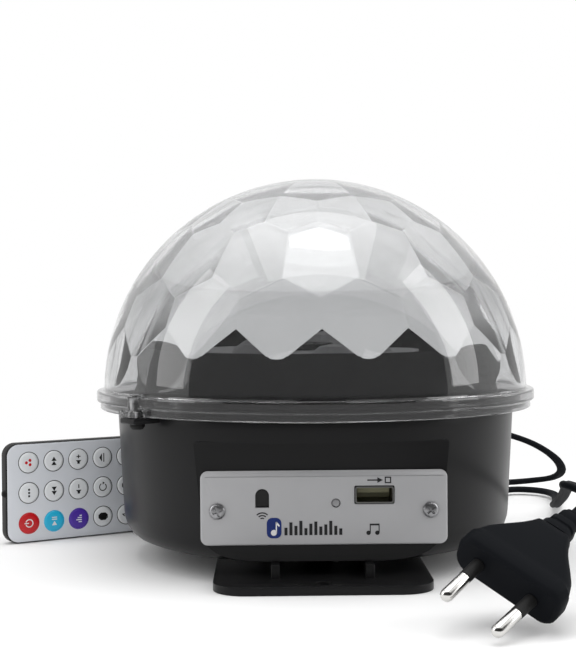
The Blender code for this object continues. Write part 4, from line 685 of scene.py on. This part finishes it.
def smooth_route(spots, step):
    """Even points along a smooth curve through the spots."""
    pts = [Vector(p) for p in spots]
    pts = [2.0 * pts[0] - pts[1]] + pts + [2.0 * pts[-1] - pts[-2]]
    fine = []
    for p0, p1, p2, p3 in zip(pts, pts[1:], pts[2:], pts[3:]):
        for k in range(40):
            t = k / 40.0
            fine.append(0.5 * (2.0 * p1 + (p2 - p0) * t + (2.0 * p0 - 5.0 * p1 + 4.0 * p2 - p3) * t ** 2
                               + (3.0 * p1 - p0 - 3.0 * p2 + p3) * t ** 3))
    fine.append(pts[-2])
    kept, run = [fine[0]], 0.0
    for a, b in zip(fine, fine[1:]):
        run += (b - a).length
        if run >= step:
            kept.append(b)
            run = 0.0
    return kept + [fine[-1]] if run > step * 0.3 else kept[:-1] + [fine[-1]]


def swept(name, spots, outline):
    """A cross-section carried along a line of points, as a mesh."""
    section = bpy.data.curves.new(name + "_section", "CURVE")
    section.dimensions = "2D"
    edge = section.splines.new("POLY")
    edge.points.add(len(outline) - 1)
    for spot, (x, y) in zip(edge.points, outline):
        spot.co = (x, y, 0.0, 1.0)
    edge.use_cyclic_u = True
    section_obj = bpy.data.objects.new(name + "_section", section)
    bpy.context.scene.collection.objects.link(section_obj)
    curve = bpy.data.curves.new(name, "CURVE")
    curve.dimensions = "3D"
    curve.twist_mode = "Z_UP"
    curve.bevel_mode = "OBJECT"
    curve.bevel_object = section_obj
    curve.use_fill_caps = True
    line = curve.splines.new("POLY")
    line.points.add(len(spots) - 1)
    for spot, p in zip(line.points, spots):
        spot.co = (*p, 1.0)
    obj = bpy.data.objects.new(name, curve)
    bpy.context.scene.collection.objects.link(obj)
    bpy.ops.object.select_all(action="DESELECT")
    bpy.context.view_layer.objects.active = obj
    obj.select_set(True)
    bpy.ops.object.convert(target="MESH")
    bpy.data.objects.remove(section_obj)
    return bpy.context.object


def build_lead():
    """One twin lead from the gland through the coil to the plug."""
    place = plug_place()
    coil = coil_route()
    back = -(PLUG_LONG + RELIEF_LONG + 2.0 * CORD_GAP)
    lead = smooth_route([Vector(p) * MM for p in LEAD_SPOTS] + [coil[0] + Vector((2.0 * CORD_R, 0.0, 0.0))],
                        3.0 * MM)
    ends = [place @ Vector((0.0, 0.0, back - out * CORD_R)) for out in (6.0, 2.0, 0.0)]
    tail = smooth_route([coil[-1] + Vector((2.0 * CORD_R, 0.0, 0.0))] + [Vector(p) * MM for p in TAIL_SPOTS]
                        + ends, 3.0 * MM)
    route = lead + coil + tail
    core = CORD_R * CORE_SHARE
    section = []
    for side in (1.0, -1.0):
        for i in range(9):
            a = TURN * (i / 8.0 - 0.5) * SHEATH_ARC_SHARE + (0.0 if side > 0.0 else TURN / 2.0)
            section.append((side * (CORD_R - core) + core * math.cos(a), core * math.sin(a)))
    cord = swept("twin_mains_lead", route, section)
    finish(cord, "twin_mains_lead", CORD_SKIN, smooth=50.0)
    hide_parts("cord_lead", "cord_coil", "cord_tail")
    length = sum((b - a).length for a, b in zip(route, route[1:]))
    print("cord length, m:", round(length, 3))
    return cord, route, length


def loft(outline, stations):
    """An outline in X and Y carried along Z; each station is z and its scale in X and in Y."""
    obj = slab([outline], 0.01 * MM)
    start_edit(obj)
    bpy.ops.mesh.select_all(action="DESELECT")
    bpy.ops.object.mode_set(mode="OBJECT")
    for face in obj.data.polygons:
        face.select = face.normal.z > 0.9
    bpy.ops.object.mode_set(mode="EDIT")
    bpy.ops.mesh.select_mode(type="FACE")
    z, sx, sy = 0.01 * MM, 1.0, 1.0
    for nz, nx, ny in stations:
        bpy.ops.mesh.extrude_region_move(TRANSFORM_OT_translate={"value": (0.0, 0.0, nz - z)})
        bpy.ops.transform.resize(value=(nx / sx, ny / sy, 1.0), center_override=(0.0, 0.0, nz))
        z, sx, sy = nz, nx, ny
    bpy.ops.mesh.select_mode(type="VERT")
    bpy.ops.object.mode_set(mode="OBJECT")
    return obj


def build_plug_pieces():
    place = plug_place()
    back = place @ Matrix.Rotation(TURN / 2.0, 4, "X")
    first = rounded(0.0, 0.0, 32.4 * MM, 11.0 * MM, 4.2 * MM, 6)
    body = loft(first, [(0.6 * MM, 1.05, 1.16), (1.4 * MM, 1.08, 1.236), (6.0 * MM, 1.08, 1.236),
                        (6.6 * MM, 1.05, 1.17), (8.2 * MM, 1.02, 1.16), (11.0 * MM, 0.95, 1.15),
                        (14.0 * MM, 0.82, 1.13), (17.0 * MM, 0.68, 1.1), (20.0 * MM, 0.55, 1.06),
                        (23.0 * MM, 0.45, 1.0), (25.2 * MM, 0.40, 0.95), (26.0 * MM, 0.36, 0.86)])
    finish(moved(body, back), "plug_moulding", CORD_SKIN, smooth=40.0)
    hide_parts("plug_body")
    rib = rounded(0.0, 0.0, 10.4 * MM, 9.6 * MM, 3.0 * MM, 5)
    steps = []
    for i in range(3):
        top, fade = 4.3 * MM * i, 1.0 - 0.16 * i
        for along, share in ((0.3, 1.0), (2.4, 0.98), (2.8, 0.92), (2.9, 0.78), (4.2, 0.77)):
            steps.append((top + along * MM, fade * share, fade * share))
    relief = loft(rib, steps)
    finish(moved(relief, back @ Matrix.Translation((0.0, 0.0, PLUG_LONG + CORD_GAP))), "plug_bend_relief",
           CORD_SKIN, smooth=40.0)
    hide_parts("plug_relief")
    pieces = [body, relief]
    for sign, where in ((-1.0, "upper"), (1.0, "lower")):
        lean = Matrix.Rotation(-sign * PIN_LEAN, 4, "Y")
        spot = place @ Matrix.Translation((sign * PIN_HALF, 0.0, 0.0)) @ lean
        sleeve = grow([(PIN_R, 0.3 * MM), (PIN_R, SLEEVE_LONG - 0.2 * MM), (PIN_R - 0.2 * MM, SLEEVE_LONG)],
                      32)
        finish(moved(sleeve, spot), "pin_collar_" + where, SOFT_BLACK)
        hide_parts("pin_sleeve_" + where)
        tip = [(PIN_R * 0.7, 0.3 * MM), (PIN_R * 0.7, SLEEVE_LONG + 0.1 * MM),
               (PIN_R * 0.98, SLEEVE_LONG + 0.15 * MM), (PIN_R, PIN_LONG - 1.8 * MM)]
        for a in (0.5, 0.9, 1.25, 1.45):
            tip.append((PIN_R * math.cos(a), PIN_LONG - 1.8 * MM + 1.8 * MM * math.sin(a)))
        pin = grow(tip, 32)
        finish(moved(pin, spot), "contact_pin_" + where, CHROME)
        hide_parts("plug_pin_" + where)
        pieces += [sleeve, pin]
    return pieces


# Card remote
CARD_L, CARD_W, CARD_T, CARD_OFF, CARD_PAST = 86.0 * MM, 40.0 * MM, 6.5 * MM, 74.9 * MM, 12.0 * MM
CARD_TURN = math.radians(30.0)
KEY_X, KEY_STEP_X, KEY_STEP_Y, KEY_R, DIGIT_SIZE = 9.2 * MM, 10.6 * MM, 12.2 * MM, 4.35 * MM, 2.6 * MM
KEY_WHITE = moulded("white_key_print", (0.84, 0.86, 0.88), 0.34, grain=1800.0)
KEY_RED = moulded("red_key_print", (0.62, 0.006, 0.012), 0.34, grain=1800.0)
KEY_CYAN = moulded("cyan_key_print", (0.02, 0.52, 0.82), 0.34, grain=1800.0)
KEY_PURPLE = moulded("purple_key_print", (0.085, 0.03, 0.42), 0.34, grain=1800.0)
DIGITS = {
    "0": [[(0.3, 0.0), (0.7, 0.0), (1.0, 0.35), (1.0, 1.05), (0.7, 1.4), (0.3, 1.4), (0.0, 1.05),
           (0.0, 0.35), (0.3, 0.0)]],
    "1": [[(0.2, 1.05), (0.55, 1.4), (0.55, 0.0)]],
    "2": [[(0.0, 1.1), (0.3, 1.4), (0.7, 1.4), (1.0, 1.1), (1.0, 0.85), (0.0, 0.0), (1.0, 0.0)]],
    "3": [[(0.0, 1.2), (0.3, 1.4), (0.75, 1.4), (1.0, 1.1), (0.75, 0.75), (0.4, 0.75)],
          [(0.75, 0.75), (1.0, 0.4), (0.75, 0.0), (0.25, 0.0), (0.0, 0.2)]],
    "4": [[(0.75, 0.0), (0.75, 1.4), (0.0, 0.45), (1.0, 0.45)]],
    "5": [[(0.95, 1.4), (0.15, 1.4), (0.05, 0.8), (0.6, 0.9), (1.0, 0.55), (0.9, 0.15), (0.5, 0.0),
           (0.0, 0.15)]],
    "6": [[(0.85, 1.4), (0.4, 1.25), (0.05, 0.7), (0.05, 0.3), (0.35, 0.0), (0.75, 0.05), (1.0, 0.4),
           (0.75, 0.75), (0.3, 0.75), (0.05, 0.45)]],
    "7": [[(0.0, 1.4), (1.0, 1.4), (0.4, 0.0)]],
    "8": [[(0.5, 0.75), (0.1, 1.0), (0.25, 1.4), (0.75, 1.4), (0.9, 1.0), (0.5, 0.75), (1.0, 0.4),
           (0.75, 0.0), (0.25, 0.0), (0.0, 0.4), (0.5, 0.75)]],
    "9": [[(0.15, 0.0), (0.6, 0.15), (0.95, 0.7), (0.95, 1.1), (0.65, 1.4), (0.25, 1.35), (0.0, 1.0),
           (0.25, 0.65), (0.7, 0.65), (0.95, 0.95)]]}


def stroke(points, width, size, at):
    """The outline of a pen stroke along points, for a printed sign."""
    spots = [Vector(((x - 0.5) * size + at[0], (y - 0.7) * size + at[1])) for x, y in points]
    left, right = [], []
    for i, p in enumerate(spots):
        before = (p - spots[i - 1]).normalized() if i else (spots[1] - p).normalized()
        after = (spots[i + 1] - p).normalized() if i + 1 < len(spots) else before
        way = (before + after).normalized() if (before + after).length > 0.1 else before
        side = Vector((-way.y, way.x)) * width / 2.0 / max(0.55, abs(way.dot(before)))
        left.append(tuple(p + side))
        right.append(tuple(p - side))
    return left + right[::-1]


def wedge(x, way=1.0):
    """A small triangle that points to +X, or to -X where way is -1."""
    return [(x - way * 0.8 * MM, -1.1 * MM), (x + way * 0.9 * MM, 0.0), (x - way * 0.8 * MM, 1.1 * MM)]


def signs():
    """What is printed on each key: row and column, colour of the key, colour of the print, outlines."""
    pen = 0.42 * MM
    coloured = {(0, 0): (KEY_RED, KEY_WHITE), (1, 0): (KEY_CYAN, KEY_WHITE), (2, 0): (KEY_PURPLE, KEY_WHITE)}
    power = [arc_band(0.0, 0.0, 1.5 * MM, pen, TURN * 0.30, TURN * 0.90), bar(0.0, 1.1 * MM, pen, 1.8 * MM)]
    speaker = [[(-1.9 * MM, -0.5 * MM), (-1.2 * MM, -0.5 * MM), (-0.4 * MM, -1.2 * MM),
                (-0.4 * MM, 1.2 * MM), (-1.2 * MM, 0.5 * MM), (-1.9 * MM, 0.5 * MM)]]
    dots = [disc(1.0 * MM * math.cos(a), 1.0 * MM * math.sin(a), 0.62 * MM, 16)
            for a in (1.57, 3.67, 5.76)]
    levels = [bar((i - 1.5) * 0.85 * MM, (h - 2.4) * MM / 2.0, 0.45 * MM, h * MM)
              for i, h in enumerate((1.4, 2.4, 1.8, 1.0))]
    eject_tip = [(-1.8 * MM, 0.3 * MM), (0.0, 1.5 * MM), (1.8 * MM, 0.3 * MM)]
    rows = {(0, 0): power, (0, 1): [bar((i - 1) * 1.3 * MM, 0.0, 0.8 * MM, 0.8 * MM) for i in range(3)],
            (0, 2): dots,
            (1, 0): [wedge(-0.9 * MM), bar(0.7 * MM, 0.0, 0.4 * MM, 2.2 * MM),
                     bar(1.5 * MM, 0.0, 0.4 * MM, 2.2 * MM)],
            (1, 1): [wedge(0.9 * MM, -1.0), wedge(-0.8 * MM, -1.0)],
            (1, 2): [wedge(-0.9 * MM), wedge(0.8 * MM)],
            (2, 0): levels,
            (2, 1): speaker + [bar(1.1 * MM, 0.0, 1.5 * MM, pen)],
            (2, 2): speaker + [bar(1.1 * MM, 0.0, 1.5 * MM, pen), bar(1.1 * MM, 0.55 * MM, pen, 0.6 * MM),
                               bar(1.1 * MM, -0.55 * MM, pen, 0.6 * MM)],
            (3, 1): [arc_band(0.0, 0.0, 1.5 * MM, pen, 0.5, TURN * 0.8),
                     [(1.0 * MM, 0.1 * MM), (2.2 * MM, 0.1 * MM), (1.6 * MM, -0.9 * MM)]],
            (3, 2): [bar(0.0, -0.5 * MM, 3.6 * MM, 0.4 * MM), eject_tip]}
    digits = {(3, 0): "0"}
    digits.update({(4 + i // 3, i % 3): str(i + 1) for i in range(9)})
    for at, name in digits.items():
        rows[at] = [stroke(line, pen * 1.15, DIGIT_SIZE, (0.0, 0.0)) for line in DIGITS[name]]
    for at, outlines in rows.items():
        skin, ink = coloured.get(at, (KEY_WHITE, INK))
        yield at, skin, (KEY_RED if at == (0, 2) else ink), outlines


def build_remote():
    """Shell, face film and keys of the card, which stands on its long edge."""
    x = Vector((math.cos(CARD_TURN), math.sin(CARD_TURN), 0.0))
    z = Vector((math.sin(CARD_TURN), -math.cos(CARD_TURN), 0.0))
    place = frame_from(x, Vector((0.0, 0.0, 1.0)), z, -x * (CARD_L + CARD_PAST) - z * CARD_OFF
                       + Vector((0.0, 0.0, 0.1 * MM)))
    edge = rounded(CARD_L / 2.0, CARD_W / 2.0, CARD_L, CARD_W, 5.0 * MM, 12)
    deep = CARD_T - 0.5 * MM
    case = slab([edge], deep, -CARD_T)
    modify(case, "BEVEL", width=0.9 * MM, segments=4, limit_method="ANGLE")
    inner = rounded(CARD_L / 2.0, CARD_W / 2.0, CARD_L - 2.6 * MM, CARD_W - 2.6 * MM, 3.7 * MM, 8)
    cut(case, slab([inner], CARD_T, -CARD_T + 1.3 * MM))
    mouth = block((CARD_L - 3.0 * MM, 8.7 * MM, -5.2 * MM), (CARD_L + MM, 31.3 * MM, -1.8 * MM))
    cut(case, mouth)
    eye_hole = grow([(1.9 * MM, -1.0 * MM), (1.9 * MM, 3.0 * MM)], 24)
    at_eye = Matrix.Translation((0.0, CARD_W / 2.0, -2.5 * MM)) @ Matrix.Rotation(TURN / 4.0, 4, "Y")
    cut(case, moved(eye_hole, at_eye))
    finish(moved(case, place), "remote_shell", SOFT_BLACK, body="remote")
    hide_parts("remote_case")
    inset = rounded(CARD_L / 2.0, CARD_W / 2.0, CARD_L - 0.9 * MM, CARD_W - 0.9 * MM, 4.6 * MM, 12)
    film = slab([inset], 0.38 * MM, -0.4 * MM)
    modify(film, "BEVEL", width=0.1 * MM, segments=2, limit_method="ANGLE")
    finish(moved(film, place), "remote_film", SILVER, body="remote")
    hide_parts("remote_face")
    for (row, col), skin, ink, outlines in signs():
        spot = Matrix.Translation((KEY_X + KEY_STEP_X * row, CARD_W / 2.0 + KEY_STEP_Y * (col - 1), 0.0))
        tag = f"{row + 1}_{col + 1}"
        rim = slab([disc(0.0, 0.0, KEY_R, 40), disc(0.0, 0.0, KEY_R - 0.28 * MM, 40)], 0.06 * MM, -0.03 * MM)
        finish(moved(rim, place @ spot), "key_ring_" + tag, INK if skin == KEY_WHITE else skin,
               body="remote")
        key = grow([(KEY_R - 0.28 * MM, -0.1 * MM), (KEY_R - 0.3 * MM, 0.02 * MM),
                    (KEY_R - 0.75 * MM, 0.24 * MM), (KEY_R - 1.5 * MM, 0.31 * MM)], 40)
        finish(moved(key, place @ spot), "key_" + tag, skin, body="remote", smooth=60.0)
        upright = spot @ Matrix.Rotation(TURN / 4.0, 4, "Z")
        for i, outline in enumerate(outlines):
            mark = slab([outline], 0.035 * MM, 0.30 * MM)
            finish(moved(mark, place @ upright), f"key_print_{tag}_{i + 1}", ink, body="remote")


# Floor, backdrop and soft lamps
LAMPS_AIM = (0.0, 0.0, 60.0 * MM)
FADE_FROM, FADE_TO = 0.16, 0.34
WORLD_LEVEL, SHOWN_LEVEL = 0.8, 1.0


def soft_lamp(name, at, size, power):
    """A rectangular lamp aimed at the middle of the object."""
    light = bpy.data.lights.new(name, "AREA")
    light.shape = "RECTANGLE"
    light.size, light.size_y = size
    light.energy = power
    obj = bpy.data.objects.new(name, light)
    bpy.context.scene.collection.objects.link(obj)
    way = (Vector(LAMPS_AIM) - Vector(at)).to_track_quat("-Z", "Y").to_matrix().to_4x4()
    obj.matrix_world = Matrix.Translation(Vector(at)) @ way


def build_studio():
    """White floor that fades to pure white, a black flag that only reflections see, and three lamps."""
    bpy.ops.object.select_all(action="DESELECT")
    bpy.ops.mesh.primitive_plane_add(size=8.0, location=(0.0, 0.0, -0.00005))
    floor = bpy.context.object
    floor.name = "floor"
    paper = Look("white_paper_floor", Roughness=0.9)
    paper.link(paper.mix(paper.noise(3.0), (0.84, 0.84, 0.84, 1.0), (0.86, 0.86, 0.86, 1.0)), "Base Color")
    far = paper.add("ShaderNodeVectorMath", {"operation": "LENGTH"}, {0: paper.place}, out=1)
    share = paper.add("ShaderNodeMapRange", {"interpolation_type": "SMOOTHSTEP"},
                      {0: far, 1: FADE_FROM, 2: FADE_TO})
    glow = paper.add("ShaderNodeEmission", {}, {})
    paper.show(paper.add("ShaderNodeMixShader", {}, {0: share * paper.seen(), 1: paper.skin.outputs[0],
                                                     2: glow}))
    floor.data.materials.append(paper.mat)
    bpy.ops.object.select_all(action="DESELECT")
    bpy.ops.mesh.primitive_plane_add(size=1.0, location=(0.0, -1.1, 0.75), rotation=(TURN / 4.0, 0.0, 0.0))
    flag = bpy.context.object
    flag.name = "black_flag"
    flag.scale = (6.0, 1.5, 1.0)
    flag.data.materials.append(moulded("black_flag_cloth", (0.01, 0.01, 0.01), 0.9))
    for kind in ("camera", "diffuse", "transmission", "shadow"):
        setattr(flag, "visible_" + kind, False)
    world = bpy.data.worlds.new("studio")
    bpy.context.scene.world = world
    world.use_nodes = True
    sky = Nodes(world.node_tree)
    back = sky.tree.nodes["Background"]
    level = sky.add("ShaderNodeMix", {}, {0: sky.seen(), 2: WORLD_LEVEL, 3: SHOWN_LEVEL})
    sky.tree.links.new(level.socket, back.inputs["Strength"])
    back.inputs["Color"].default_value = (1.0, 1.0, 1.0, 1.0)
    soft_lamp("left_softbox", (-1.0, -0.15, 0.55), (0.4, 1.0), 3.5)
    soft_lamp("right_softbox", (1.0, -0.15, 0.55), (0.4, 1.0), 4.5)
    soft_lamp("top_softbox", (0.0, -0.1, 1.5), (1.2, 1.2), 11.0)


build_dome()
build_housing()
build_foot()
build_deck()
build_plate()
plain_nodes()
build_panel_screws()
lead, lead_route, lead_length = build_lead()
plug_pieces = build_plug_pieces()
tuple(lead_route[0])
[tuple(p) for p in lead_route]
build_remote()
build_studio()
